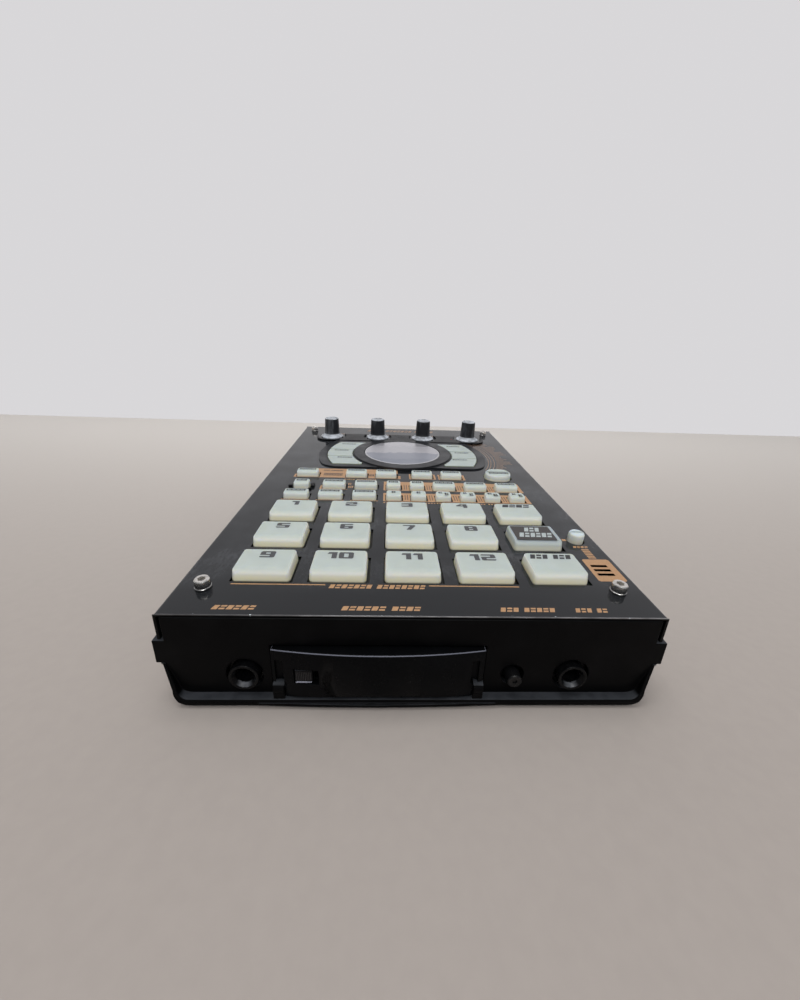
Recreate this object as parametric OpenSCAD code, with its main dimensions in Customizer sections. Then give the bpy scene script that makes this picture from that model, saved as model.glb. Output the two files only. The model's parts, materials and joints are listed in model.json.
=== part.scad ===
// Compact sampler: wedge-shaped case, fifteen pads, three rows of small keys,
// a round display between fan-shaped keys, four knobs, card door in the front.
// X is to the right, Y to the rear, Z up; the origin is under the middle of the case.

/* [Case] */
// Overall depth, from the front of the card door to the rear edge of the cover
case_depth = 260; // [256:1:264]
// Width of the folded steel cover
cover_width = 175; // [174:0.5:177]
// Width over the two side ears of the lower case
ear_width = 178.6; // [178:0.2:182]
// Height of the cover's front edge above the ground
front_height = 36.5; // [36:0.5:40]
// Slope of the cover, in degrees
slope = 5; // [5:0.1:5.3]
// Thickness of the steel cover
sheet = 1; // [0.8:0.1:1.1]
// Depth of the cover's folded side flanges
flange_depth = 10; // [8:0.5:10]
// Wall of the moulded lower case
wall = 2.2; // [2:0.1:2.4]
// Height of the rubber feet below the case
foot_height = 1.3; // [1:0.1:2]

/* [Pads] */
// Width of a pad
pad_width = 21.9; // [20:0.1:22.5]
// Depth of a pad
pad_depth = 16.2; // [15:0.1:17]
// Height of a pad above the cover
pad_height = 4.2; // [3:0.1:5]
// Distance between pad columns
pad_pitch_x = 28.8; // [28:0.1:29]
// Distance between pad rows
pad_pitch_y = 24.15; // [23.5:0.05:24.4]
// X of the middle pad column
pad_middle_x = -0.4; // [-0.6:0.1:0]
// Near edge of the first pad row, from the cover's front edge
pad_near_y = 18.4; // [18:0.1:19]

/* [Small keys] */
// Depth of a small key
key_depth = 6.8; // [6:0.1:7]
// Height of a small key above the cover
key_height = 3.6; // [2.5:0.1:4.5]
// Width of a wide small key
wide_key = 13.7; // [13:0.1:14]
// Width of a narrow small key
narrow_key = 8.8; // [8:0.1:9.2]
// Width of the guarded key
guarded_key = 9.4; // [9:0.1:10]
// Near edge of the first row, next to the display
row_1_y = 126.8; // [126.5:0.1:127.5]
// Near edge of the second row
row_2_y = 107.8; // [107.5:0.1:108.5]
// Near edge of the third row, next to the pads
row_3_y = 92.7; // [92.4:0.1:93.5]
// Distance between wide keys
wide_pitch = 19; // [18.5:0.1:19.2]
// Distance between narrow keys
narrow_pitch = 14.1; // [13.8:0.1:14.3]
// Travel of every key
key_travel = 1.5; // [1:0.1:1.6]

/* [Display] */
// X of the display's centre
display_x = 0.4; // [0:0.1:0.8]
// Y of the display's centre on the cover
display_y = 176; // [175.5:0.1:176.5]
// Radius of the bezel's outline
bezel_radius = 62.3; // [62:0.1:63]
// Radius of the raised ring
ring_radius = 36.6; // [36:0.1:36.8]
// Radius of the lens
lens_radius = 28.4; // [27.5:0.1:28.6]
// Height of the ring's top above the cover
ring_height = 2.15; // [1.9:0.05:2.4]
// Inner radius of the fan-shaped keys
fan_inner = 37.6; // [37.5:0.1:38]
// Outer radius of the fan-shaped keys
fan_outer = 55.8; // [55:0.1:56]

/* [Knobs] */
// Distance between knobs
knob_pitch = 39.1; // [38.5:0.1:39.5]
// Y of the knob row on the cover
knob_y = 222; // [221.5:0.1:222.5]
// Height of a knob's top above the cover
knob_height = 16.5; // [15:0.1:18]
// Radius of a knob's skirt
skirt_radius = 9.3; // [9:0.1:10]
// Radius of a knob's grip at its foot
grip_radius = 6.2; // [6:0.1:6.5]

/* [Front] */
// X of the card door's middle
door_x = -12.65; // [-12.9:0.05:-12.4]
// Width of the card door
door_width = 74; // [73.5:0.1:74.4]
// How far the door's middle bulges past its ends
door_bulge = 3; // [2:0.1:3.2]
// X of the left jack
left_jack_x = -59.6; // [-59.8:0.1:-59.6]
// X of the right jack
right_jack_x = 56.8; // [56:0.1:58]
// X of the small level knob
level_x = 35.3; // [35:0.1:37]
// Height of the jacks above the ground
jack_z = 12; // [11.7:0.1:12.2]

/* [Hidden] */
$fn = 96;

// Places of the main planes
door_front = -case_depth / 2;
rear_edge = case_depth / 2;
panel_y = door_front + 5;
panel_z = front_height;
panel_depth = (rear_edge - panel_y) / cos(slope);
front_face = panel_y - 0.5;
rear_face = 121;
floor_z = foot_height;
floor_top = floor_z + 2.6;
ear_top = -10.3;
ear_bottom = -19.5;
tray_wide = 87.3;
tray_knee_z = 17;
tray_corner = 5.6;
tray_low = 84.3;
upper_half = 85.3;
upper_wall = 2;
far = 400;

// Planes under the cover, measured from its upper face
key_flange_top = -sheet - 0.4;
key_flange = 1.2;
sheet_top = -6.6;
plunger_bottom = sheet_top + key_travel + 0.6;
board_top = -7.5;
board_bottom = -9.1;

// Gaps round keys in their holes: the keys sit to the left of them
gap_left = 0.35;
pad_gap_right = 1.05;
key_gap_right = 0.85;
gap_y = 0.5;
lap = 0.3;

// Display details
ring_y = display_y + 1;
bezel_near = display_y - 31.2;
bezel_far = display_y + 31.8;
bezel_corner = 12;
bezel_plate = 1;
lens_bottom = 0.8;
cover_window = 58.2;
fan_side = 29;
fan_rows = [149.5, 166.1, 166.9, 182.6, 183.4, 201.7];
fan_gap = 0.4;
fan_height = 1.5;
lcd = [54, 46];

// Strip and knobs
strip_x = 0.5;
strip_width = 143;
strip_near = 208.3;
strip_far = 228.5;
strip_height = 1.4;
well_radius = 11.8;
lamp = [44.4, 219];
skirt_bottom = 0.3;
pot_bush = 3.5;
shaft_radius = 3;
fit = 0.04;
knob_x = [for (i = [0:3]) (i - 1.5) * knob_pitch];

// Screws
screw_x = 77;
screw_y = [14.2, 240.4];
screw_head = 2.75;
screw_head_height = 3;
screw_washer = [2.95, 0.9];
screw_flats = 2.5;
screw_shank = 1.5;
screw_length = 14;

// Card door
door_low = 4.3;
door_high = 24.1;
door_back = panel_y + 1;
door_shell = 1.8;
hinge_y = -126.4;
hinge_z = 7.8;
hinge_pin = 1.2;
lug_radius = 2.5;
lug_x = [[-49.5, -45.6], [21, 24.5]];
door_sweep = 3.6;
pocket_gap = 0.5;
pocket_back = -112;
pocket_high = door_high + pocket_gap;
bolt_end = door_x - door_width / 2 - pocket_gap + 0.3;
window = [-42, -33.3, 10.7, 16.8];
slot_x = [[-48.5, -45.6], [19.8, 22.5]];
slot_z = [10, 19.8];

// Jacks and sockets
jack_bore = 3.175;
jack_nose = 5.2;
nose_front = front_face - 1.8;
nose_cone = [1.4, 4.3];
jack_recess = 6.5;
level_z = 12;
level_recess = 4.2;
level_radius = 2.7;
level_front = front_face - 3.3;
rca_x = [-64, -48, -32, -16];
rca_z = 31;
rca_radius = 4.15;
midi_x = 10;
dc_x = 36;
rocker_x = 61;
rocker_z = 31;

// Battery bay and boards
bay = [46, 6, 62];
bay_top = 18;
main_bottom = 19.5;
main_top = 21.1;
card_slot = [43.4, 4.6];
card_z = 12.5;
card_back = -80;
eject_x = 15.5;
mic_x = 78.4;
mic_y = 28;

// Keys: centre X, near edge Y, width
row_1_left = [for (x = [-61.7, -30.6, -30.6 + wide_pitch]) [x, row_1_y, wide_key]];
row_1_right = [for (x = [11.6, 11.6 + wide_pitch]) [x, row_1_y, wide_key]];
row_2_left = [
    [-61.7, row_2_y, guarded_key],
    [-42.5, row_2_y, wide_key],
    [-42.5 + wide_pitch, row_2_y, wide_key]
];
row_2_right = concat(
    [for (k = [0:1]) [-7 + k * narrow_pitch, row_2_y, narrow_key]],
    [for (k = [0:2]) [23.5 + k * wide_pitch, row_2_y, wide_key]]
);
row_3_left = [for (k = [0:2]) [-61.7 + k * wide_pitch, row_3_y, wide_key]];
row_3_right = [for (k = [0:5]) [-7 + k * narrow_pitch, row_3_y, narrow_key]];
small_keys = concat(row_1_left, row_1_right, row_2_left, row_2_right, row_3_left, row_3_right);
oval = [61.9, 131.8];
oval_width = 17.1;
oval_depth = 13.4;
oval_height = 4;
round_key_at = [77.8, 51.8];
round_radius = 3.65;
round_height = 4.5;

// Colours
steel_black = "#26262a";
case_black = "#17171a";
silicone = "#cfdccf";
chrome = "#c9c9c4";
board_green = "#1d4a33";

// Cover frame: X right, Y up the slope from the front edge, Z out of the cover
module on_panel() {
    translate([0, panel_y, panel_z])
        rotate([slope, 0, 0])
            children();
}

// Block between two corners
module block(low, high) {
    translate(low)
        cube([for (i = [0:2]) high[i] - low[i]]);
}

// Rod along Y from one y to another
module rod_y(x, z, y0, y1, r) {
    translate([x, y0, z])
        rotate([-90, 0, 0])
            cylinder(h = y1 - y0, r = r);
}

// Rod along X from one x to another
module rod_x(y, z, x0, x1, r) {
    translate([x0, y, z])
        rotate([0, 90, 0])
            cylinder(h = x1 - x0, r = r);
}

// Rectangle with four round corners, centred
module round_rect(w, d, r) {
    square([w - 2 * r, d], center = true);
    square([w, d - 2 * r], center = true);
    for (sx = [-1, 1], sy = [-1, 1])
        translate([sx * (w / 2 - r), sy * (d / 2 - r)])
            circle(r, $fn = 32);
}

// Outline of a key's side: a square foot and two round top corners
module arch(w, h, r) {
    translate([-w / 2, key_flange_top])
        square([w, h - r - key_flange_top]);
    translate([r - w / 2, 0])
        square([w - 2 * r, h]);
    for (s = [-1, 1])
        translate([s * (w / 2 - r), h - r])
            circle(r, $fn = 32);
}

// Key cap with rounded top edges, standing on the key flange
module cap(w, d, h, r) {
    intersection() {
        translate([0, 0, key_flange_top])
            linear_extrude(h - key_flange_top)
                round_rect(w, d, 1.6);
        translate([0, d, 0])
            rotate([90, 0, 0])
                linear_extrude(2 * d)
                    arch(w, h, r);
        translate([-w, 0, 0])
            rotate([90, 0, 90])
                linear_extrude(2 * w)
                    arch(d, h, r);
    }
}

// Rectangular key: cap, retaining flange under the cover, plunger
module key(w, d, h, r, gap_right) {
    flange_w = w + gap_left + gap_right + 2 * lap;
    flange_d = d + 2 * (gap_y + lap);
    cap(w, d, h, r);
    translate([(gap_right - gap_left) / 2, 0, key_flange_top - key_flange / 2])
        cube([flange_w, flange_d, key_flange], center = true);
    translate([-w / 4, -d / 4, plunger_bottom])
        cube([w / 2, d / 2, key_flange_top - plunger_bottom]);
}

// Hole in the cover for a rectangular key
module key_hole(w, d, gap_right) {
    translate([-w / 2 - gap_left, -d / 2 - gap_y, -far / 2])
        cube([w + gap_left + gap_right, d + 2 * gap_y, far]);
}

// Centre of a pad: column 0..4 from the left, row 0..2 from the front
function pad_at(column, row) = [
    pad_middle_x + (column - 2) * pad_pitch_x,
    pad_near_y + pad_depth / 2 + row * pad_pitch_y,
    0
];

module pad(column, row) {
    color(silicone)
        on_panel()
            translate(pad_at(column, row))
                key(pad_width, pad_depth, pad_height, 1.3, pad_gap_right);
}

// Centre of a small key
function key_at(k) = [k[0], k[1] + key_depth / 2, 0];

module key_group(keys) {
    color(silicone)
        on_panel()
            for (k = keys)
                translate(key_at(k))
                    key(k[2], key_depth, key_height, 1.2, key_gap_right);
}

// Stadium outline of the oval key, wider by g on the left, below and above, by g2 on the right
module oval_outline(g, g2) {
    r = oval_depth / 2 + g;
    half = oval_width / 2 - oval_depth / 2;
    hull_w = 2 * half + g2 - g;
    translate([-half, 0])
        circle(r);
    translate([-half + hull_w, 0])
        circle(r);
    translate([-half, -r])
        square([hull_w, 2 * r]);
}

module oval_key() {
    color(silicone)
        on_panel()
            translate([oval[0], oval[1], 0]) {
                translate([0, 0, key_flange_top])
                    linear_extrude(oval_height - 0.8 - key_flange_top)
                        oval_outline(0, 0);
                translate([0, 0, oval_height - 0.81])
                    linear_extrude(0.81)
                        oval_outline(-0.5, -0.5);
                translate([0, 0, key_flange_top - key_flange])
                    linear_extrude(key_flange)
                        oval_outline(gap_left + lap, key_gap_right + lap);
                translate([0, 0, plunger_bottom])
                    cylinder(h = key_flange_top - plunger_bottom, r = 3);
            }
}

module round_key() {
    shoulder = 1.2;
    color(silicone)
        on_panel()
            translate([round_key_at[0], round_key_at[1], 0]) {
                rotate_extrude() {
                    translate([0, key_flange_top])
                        square([round_radius, round_height - shoulder - key_flange_top]);
                    translate([0, key_flange_top])
                        square([round_radius - shoulder, round_height - key_flange_top]);
                    translate([round_radius - shoulder, round_height - shoulder])
                        circle(shoulder, $fn = 32);
                }
                translate([0, 0, key_flange_top - key_flange])
                    cylinder(h = key_flange, r = round_radius + 0.7);
                translate([0, 0, plunger_bottom])
                    cylinder(h = key_flange_top - plunger_bottom, r = 2);
            }
}

// Centre of a fan-shaped key's plunger
function fan_x(side) = display_x + side * (fan_inner + fan_outer) / 2;
function fan_y(row) = (fan_rows[2 * row] + fan_rows[2 * row + 1]) / 2;

// Fan outline on one side of the display between two Y values, grown by g
module fan_outline(side, y0, y1, g) {
    intersection() {
        translate([display_x, display_y])
            difference() {
                circle(fan_outer + g);
                circle(fan_inner - g);
            }
        translate([side > 0 ? display_x + fan_side - g : display_x - fan_side + g - far, y0])
            square([far, y1 - y0]);
    }
}

// One of the fan-shaped keys: row 0..2 from the front
module fan_key(side, row) {
    y0 = fan_rows[2 * row];
    y1 = fan_rows[2 * row + 1];
    edge = fan_gap + lap;
    flange_y0 = row == 0 ? y0 - edge : y0;
    flange_y1 = row == 2 ? y1 + edge : y1;
    color(silicone)
        on_panel() {
            translate([0, 0, -0.4])
                linear_extrude(fan_height + 0.4)
                    fan_outline(side, y0, y1, 0);
            translate([0, 0, -0.4 - key_flange])
                linear_extrude(key_flange)
                    fan_outline(side, flange_y0, flange_y1, edge);
            translate([fan_x(side), fan_y(row), plunger_bottom])
                cylinder(h = -0.4 - plunger_bottom, r = 4);
        }
}

// Folded steel cover
module top_cover() {
    half = cover_width / 2;
    color(steel_black) {
        difference() {
            on_panel()
                difference() {
                    union() {
                        block([-half, -10, -sheet], [half, panel_depth + 10, 0]);
                        for (s = [-1, 1])
                            scale([s, 1, 1])
                                block([half - sheet, -10, -flange_depth], [half, panel_depth + 10, 0]);
                        // Studs that carry the panel board
                        for (x = [-43.25, 14.35, 43.15], y = [38.6, 88])
                            translate([x, y, board_top])
                                cylinder(h = -board_top - sheet, r = 1.9);
                        for (x = [-39, 0, 39])
                            translate([x, knob_y + 6, board_top])
                                cylinder(h = -board_top - sheet, r = 1.9);
                    }
                    for (column = [0:4], row = [0:2])
                        translate(pad_at(column, row))
                            key_hole(pad_width, pad_depth, pad_gap_right);
                    for (k = small_keys)
                        translate(key_at(k))
                            key_hole(k[2], key_depth, key_gap_right);
                    translate([oval[0], oval[1], -far / 2])
                        linear_extrude(far)
                            oval_outline(gap_left, key_gap_right);
                    translate([round_key_at[0], round_key_at[1], -far / 2])
                        cylinder(h = far, r = round_radius + 0.35);
                    translate([0, 0, -far / 2])
                        linear_extrude(far)
                            intersection() {
                                translate([display_x, display_y])
                                    circle(cover_window);
                                translate([-far / 2, bezel_near + 3.2])
                                    square([far, bezel_far - bezel_near - 6.5]);
                            }
                    for (x = knob_x)
                        translate([x, knob_y, -far / 2])
                            cylinder(h = far, r = pot_bush + 0.2);
                    for (sx = [-1, 1], y = screw_y)
                        translate([sx * screw_x, y, -far / 2])
                            cylinder(h = far, r = screw_shank + 0.15);
                    // Sound slots over the microphone
                    for (k = [-1:1])
                        block([mic_x - 3.5, mic_y + 3 * k - 0.8, -5], [mic_x + 3.5, mic_y + 3 * k + 0.8, 5]);
                }
            block([-far, -far, -far], [far, panel_y, far]);
            block([-far, rear_edge, -far], [far, far, far]);
        }
        // Rear return of the cover
        block([2.5 - half, rear_edge - sheet, 50.5], [half - 2.5, rear_edge, 58]);
    }
}

// Section of the moulded tray, inset by t from its outer face
module tray_section(t) {
    low = tray_low - t;
    wide = tray_wide - t;
    corner = tray_corner - t;
    bottom = t == 0 ? floor_z : floor_top;
    polygon([
        [corner - low, bottom], [low - corner, bottom],
        [low, bottom + corner], [wide, tray_knee_z],
        [wide, far], [-wide, far],
        [-wide, tray_knee_z], [-low, bottom + corner]
    ]);
    for (s = [-1, 1])
        translate([s * (low - corner), bottom + corner])
            circle(corner);
}

// Tray section extruded between two Y planes
module tray(t, y0, y1) {
    translate([0, y1, 0])
        rotate([90, 0, 0])
            linear_extrude(y1 - y0)
                tray_section(t);
}

// Everything under a plane parallel to the cover
module below(z) {
    on_panel()
        block([-far, -far, z - far], [far, far, z]);
}

// Lug of the door hinge on the lower lip
module hinge_lug(x) {
    difference() {
        union() {
            rod_x(hinge_y, hinge_z, x[0], x[1], lug_radius);
            block([x[0], hinge_y - 2, floor_z + 1], [x[1], hinge_y + lug_radius, hinge_z]);
        }
        rod_x(hinge_y, hinge_z, x[0] - 1, x[1] + 1, hinge_pin + fit);
    }
}

module lower_case() {
    pocket_x0 = door_x - door_width / 2 - pocket_gap;
    pocket_x1 = door_x + door_width / 2 + pocket_gap;
    case_rear = rear_edge - 1;
    color(case_black) {
        difference() {
            union() {
                intersection() {
                    tray(0, front_face, case_rear);
                    below(ear_top);
                }
                intersection() {
                    on_panel()
                        block([-ear_width / 2, -20, ear_bottom], [ear_width / 2, panel_depth + 20, ear_top]);
                    block([-far, front_face, 0], [far, case_rear, far]);
                }
                intersection() {
                    on_panel()
                        block([-upper_half, -20, ear_top - 1], [upper_half, panel_depth + 20, -sheet]);
                    block([-far, front_face, 0], [far, rear_face, far]);
                }
            }
            // Main cavity and the open recess behind the rear wall
            for (y = [[front_face + wall, rear_face - wall], [rear_face, far]]) {
                intersection() {
                    tray(wall, y[0], y[1]);
                    below(ear_top);
                }
                intersection() {
                    on_panel()
                        block([upper_wall - upper_half, -20, ear_top - 1], [upper_half - upper_wall, far, 1]);
                    block([-far, y[0], 0], [far, y[1], far]);
                }
            }
            // Card door opening, jack recesses, level knob recess
            block([pocket_x0, front_face - 1, floor_top], [pocket_x1, front_face + wall + 1, pocket_high]);
            for (x = [left_jack_x, right_jack_x])
                rod_y(x, jack_z, front_face - 1, front_face + wall + 1, jack_recess);
            rod_y(level_x, level_z, front_face - 1, front_face + wall + 1, level_recess);
            // Rear sockets
            for (x = rca_x)
                rod_y(x, rca_z, rear_face - wall - 1, rear_face + 1, rca_radius + 0.3);
            rod_y(midi_x, rca_z, rear_face - wall - 1, rear_face + 1, 8.1);
            rod_y(dc_x, rca_z - 4, rear_face - wall - 1, rear_face + 1, 4.6);
            block([rocker_x - 6.7, rear_face - wall - 1, rocker_z - 9.7],
                [rocker_x + 6.7, rear_face + 1, rocker_z + 9.7]);
            // Battery opening with a ledge for its cover, pockets for the feet
            block([-bay[0], bay[1], 0], [bay[0], bay[2], far / 20]);
            block([-bay[0] - 1.3, bay[1] - 1.3, 0], [bay[0] + 1.3, bay[2] + 1.3, floor_z + 1.6]);
            for (x = [-70, 70], y = [-108, 108])
                translate([x, y, 0])
                    cylinder(h = floor_z + 0.7, r = 7.1);
        }
        front_lip();
        for (x = lug_x)
            hinge_lug(x);
        door_pocket(pocket_x0, pocket_x1);
        battery_bay();
        // Posts under the main board
        for (x = [-64, 64], y = [-88, 20, 98])
            translate([x, y, floor_top - 0.5])
                cylinder(h = main_bottom - floor_top + 0.5, r = 3);
        for (sx = [-1, 1], y = screw_y)
            scale([sx, 1, 1])
                screw_boss(y);
    }
}

// Rim that runs round the front of the tray, deepest at the bottom, bowed under the door
module front_lip() {
    lip_front = front_face - 3.5;
    rim = 1.3;
    intersection() {
        difference() {
            tray(0, door_front, front_face + 0.5);
            tray(rim, door_front - 1, front_face + 1);
        }
        rotate([90, 0, 90])
            translate([0, 0, -far / 2])
                linear_extrude(far)
                    polygon([
                        [front_face + 0.5, floor_z], [lip_front, floor_z],
                        [lip_front, floor_z + 1.6], [front_face - 0.05, tray_knee_z],
                        [front_face + 0.5, tray_knee_z]
                    ]);
    }
    // Bowed lip plate under the door
    bow = 900;
    intersection() {
        translate([door_x, door_front + bow, floor_z])
            cylinder(h = rim, r = bow, $fn = 1440);
        block([door_x - 42, door_front, 0], [door_x + 42, front_face + 0.5, 10]);
    }
}

// Closed pocket behind the card door, with a window for the card and the eject button
module door_pocket(x0, x1) {
    difference() {
        block([x0 - wall, front_face + 1, floor_top - 0.5], [x1 + wall, pocket_back + 2, pocket_high + 2]);
        block([x0, front_face, floor_top], [x1, pocket_back, pocket_high]);
        block([door_x - card_slot[0] / 2 - 0.5, pocket_back - 1, card_z - 0.5],
            [door_x + card_slot[0] / 2 + 0.5, pocket_back + 3, card_z + card_slot[1] + 0.5]);
        block([eject_x - 2, pocket_back - 1, card_z - 0.5], [eject_x + 2, pocket_back + 3, card_z + 4.5]);
    }
}

module battery_bay() {
    difference() {
        block([-bay[0] - 2, bay[1] - 2, floor_z + 1.7], [bay[0] + 2, bay[2] + 2, main_bottom]);
        block([-bay[0], bay[1], 0], [bay[0], bay[2], bay_top]);
    }
}

// Boss for a corner screw, tied to the side wall
module screw_boss(y) {
    intersection() {
        on_panel()
            difference() {
                union() {
                    translate([screw_x, y, -20])
                        cylinder(h = 20 - sheet, r = 4.2);
                    block([screw_x, y - 1.5, -20], [upper_half - 1, y + 1.5, -sheet - 0.2]);
                }
                translate([screw_x, y, -21])
                    cylinder(h = 22, r = screw_shank + fit);
            }
        block([0, front_face, 0], [far, rear_face, far]);
    }
}

module rubber_feet() {
    color("#1b1b1b")
        for (x = [-70, 70], y = [-108, 108])
            translate([x, y, 0])
                cylinder(h = floor_z + 0.7, r = 7);
}

module corner_screws() {
    color(chrome)
        on_panel()
            for (x = [-screw_x, screw_x], y = screw_y)
                translate([x, y, 0])
                    difference() {
                        union() {
                            cylinder(h = screw_washer[1], r = screw_washer[0]);
                            cylinder(h = screw_washer[1] + screw_head_height, r = screw_head);
                            translate([0, 0, -screw_length])
                                cylinder(h = screw_length + 0.5, r = screw_shank);
                        }
                        translate([0, 0, screw_washer[1] + screw_head_height - 1.6])
                            cylinder(h = 3, r = screw_flats / sqrt(3), $fn = 6);
                    }
}

module battery_cover() {
    color(case_black)
        difference() {
            block([-bay[0] - 1, bay[1] - 1, floor_z], [bay[0] + 1, bay[2] + 1, floor_z + 1.5]);
            // Finger grip
            for (k = [0:4])
                block([-12, bay[2] - 10 + 2 * k, floor_z - 1], [12, bay[2] - 9 + 2 * k, floor_z + 0.5]);
        }
}

module battery_contacts() {
    color(chrome)
        for (k = [0:5])
            translate([(k - 2.5) * 15.3, 0, 10.5]) {
                block([-4.5, bay[1], -5], [4.5, bay[1] + 0.6, 5]);
                block([-4.5, bay[2] - 0.6, -5], [4.5, bay[2], 5]);
                rod_y(0, 0, bay[1] + 0.5, bay[1] + 1.4, 2.5);
                translate([0, bay[2] - 0.5, 0])
                    rotate([90, 0, 0])
                        cylinder(h = 3.5, r1 = 4, r2 = 2.5);
            }
}

// Low black guards: a post on the left of the guarded key, a rib and a post on its right
module key_guard() {
    near = row_2_y + 0.6;
    color("#111113")
        on_panel() {
            block([-69.2, near, 0], [-66.9, near + 1.9, 1.4]);
            block([-56, near, 0], [-54.2, near + 4.6, 1.4]);
            block([-57.1, near - 3.4, 0], [-55.2, near - 2, 1]);
        }
}

// Outline of the bezel: a circle cut straight in front and behind, with round front corners
module bezel_outline() {
    reach = bezel_radius - bezel_corner;
    drop = display_y - bezel_near - bezel_corner;
    side = sqrt(reach * reach - drop * drop);
    tangent = drop * bezel_radius / reach;
    translate([display_x, display_y]) {
        translate([-side, bezel_near - display_y])
            square([2 * side, bezel_far - bezel_near]);
        intersection() {
            circle(bezel_radius);
            translate([-far / 2, -tangent])
                square([far, bezel_far - display_y + tangent]);
        }
        for (s = [-1, 1])
            translate([s * side, -drop])
                circle(bezel_corner);
    }
}

module display_bezel() {
    color("#1d1d20")
        on_panel()
            difference() {
                union() {
                    linear_extrude(bezel_plate)
                        bezel_outline();
                    intersection() {
                        translate([display_x, ring_y, 0])
                            cylinder(h = ring_height, r = ring_radius);
                        block([-far, 0, -1], [far, bezel_far, far]);
                    }
                }
                for (side = [-1, 1])
                    translate([0, 0, -1])
                        linear_extrude(5)
                            fan_outline(side, fan_rows[0] - fan_gap, fan_rows[5] + fan_gap, fan_gap);
                translate([display_x, ring_y, lens_bottom])
                    cylinder(h = 5, r = lens_radius + 0.2);
                translate([display_x, ring_y, -1])
                    cylinder(h = 5, r = lens_radius - 1.6);
            }
}

module display_lens() {
    color("#aab0b4")
        on_panel()
            translate([display_x, ring_y, lens_bottom])
                cylinder(h = ring_height - lens_bottom - 0.05, r = lens_radius);
}

module lcd_module() {
    color("#8d949c")
        on_panel()
            difference() {
                block([display_x - lcd[0] / 2, ring_y - lcd[1] / 2, board_top],
                    [display_x + lcd[0] / 2, ring_y + lcd[1] / 2, -0.4]);
                block([display_x - lcd[0] / 2 + 3, ring_y - lcd[1] / 2 + 4, -1],
                    [display_x + lcd[0] / 2 - 3, ring_y + lcd[1] / 2 - 4, 0]);
            }
}

module knob_strip() {
    depth = strip_far - strip_near;
    color("#131316")
        on_panel()
            difference() {
                translate([strip_x, (strip_near + strip_far) / 2, 0])
                    linear_extrude(strip_height)
                        round_rect(strip_width, depth, depth / 2 - 0.1);
                for (x = knob_x)
                    translate([x, knob_y, -1])
                        cylinder(h = 5, r = well_radius);
                translate([lamp[0], lamp[1], -1])
                    cylinder(h = 5, r = 1.1);
            }
}

module key_sheet() {
    color("#8f988f")
        on_panel()
            difference() {
                union() {
                    block([-69.5, 16, board_top], [69.5, fan_rows[0], sheet_top]);
                    block([69, 44, board_top], [82, 60, sheet_top]);
                    intersection() {
                        translate([display_x, display_y, board_top])
                            cylinder(h = sheet_top - board_top, r = fan_outer + 1.5);
                        block([-far, fan_rows[0] - 1, board_top], [far, fan_rows[5] + 1, sheet_top]);
                    }
                    for (column = [0:4], row = [0:2])
                        translate(pad_at(column, row))
                            contact_dome(4);
                    for (k = small_keys)
                        translate(key_at(k))
                            contact_dome(2);
                    translate([oval[0], oval[1], 0])
                        contact_dome(3);
                    translate([round_key_at[0], round_key_at[1], 0])
                        contact_dome(2);
                    for (side = [-1, 1], row = [0:2])
                        translate([fan_x(side), fan_y(row), 0])
                            contact_dome(3);
                }
                block([display_x - lcd[0] / 2 - 0.5, ring_y - lcd[1] / 2 - 0.5, -20],
                    [display_x + lcd[0] / 2 + 0.5, ring_y + lcd[1] / 2 + 0.5, 0]);
                for (x = [-43.25, 14.35, 43.15], y = [38.6, 88])
                    translate([x, y, -20])
                        cylinder(h = 20, r = 2.3);
            }
}

// Contact dome under a key's plunger
module contact_dome(r) {
    translate([0, 0, board_top])
        cylinder(h = sheet_top - board_top + 0.25, r = r);
}

module panel_board() {
    color(board_green)
        on_panel()
            difference() {
                union() {
                    block([-70, 15, board_bottom], [70, 233, board_top]);
                    block([69, 21, board_bottom], [82, 62, board_top]);
                }
                for (x = [-60, 60])
                    translate([x, 146, -20])
                        cylinder(h = 20, r = 1.6);
            }
}

module main_board() {
    color(board_green)
        difference() {
            union() {
                block([-70, pocket_back + 3, main_bottom], [70, rear_face - wall - 0.3, main_top]);
                for (x = [[-70, -54], [29, 70]])
                    block([x[0], -122, main_bottom], [x[1], pocket_back + 3.5, main_top]);
            }
            for (x = [-30, 0, 30])
                translate([x, 80, 0])
                    cylinder(h = far / 4, r = 1.6);
        }
}

// Upright pot with its bush and a bore for the knob's shaft
module pot() {
    difference() {
        union() {
            block([-6, -6.5, board_top], [6, 6.5, -2]);
            translate([0, 0, -2.5])
                cylinder(h = 2.5, r = pot_bush);
        }
        translate([0, 0, -6.6])
            cylinder(h = 20, r = shaft_radius + fit);
    }
}

module rotary_pots() {
    color("#6f7478") {
        on_panel()
            for (x = knob_x)
                translate([x, knob_y, 0])
                    pot();
        difference() {
            block([level_x - 5.6, front_face + 4.5, level_z - 5.6], [level_x + 5.6, -110, main_bottom]);
            rod_y(level_x, level_z, front_face, -112, 1.5 + fit);
        }
    }
}

module front_jacks() {
    color("#2a2a2c")
        for (x = [left_jack_x, right_jack_x])
            difference() {
                union() {
                    block([x - 6.3, front_face + wall, 5.4], [x + 6.3, -98, main_bottom]);
                    rod_y(x, jack_z, nose_front, front_face + wall + 0.5, jack_nose);
                }
                translate([x, nose_front, jack_z])
                    rotate([-90, 0, 0])
                        cylinder(h = nose_cone[0], r1 = nose_cone[1], r2 = jack_bore);
                rod_y(x, jack_z, nose_front - 1, -102, jack_bore);
            }
}

module rca_jacks() {
    color("#3a3a3a")
        difference() {
            union() {
                block([rca_x[0] - 6, 106, main_top], [rca_x[3] + 6, rear_face - wall - 0.1, rca_z + 7]);
                for (x = rca_x)
                    rod_y(x, rca_z, rear_face - wall - 1, rear_edge - 0.6, rca_radius);
            }
            for (x = rca_x)
                rod_y(x, rca_z, rear_face - 1, rear_edge, 1.6);
        }
}

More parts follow.
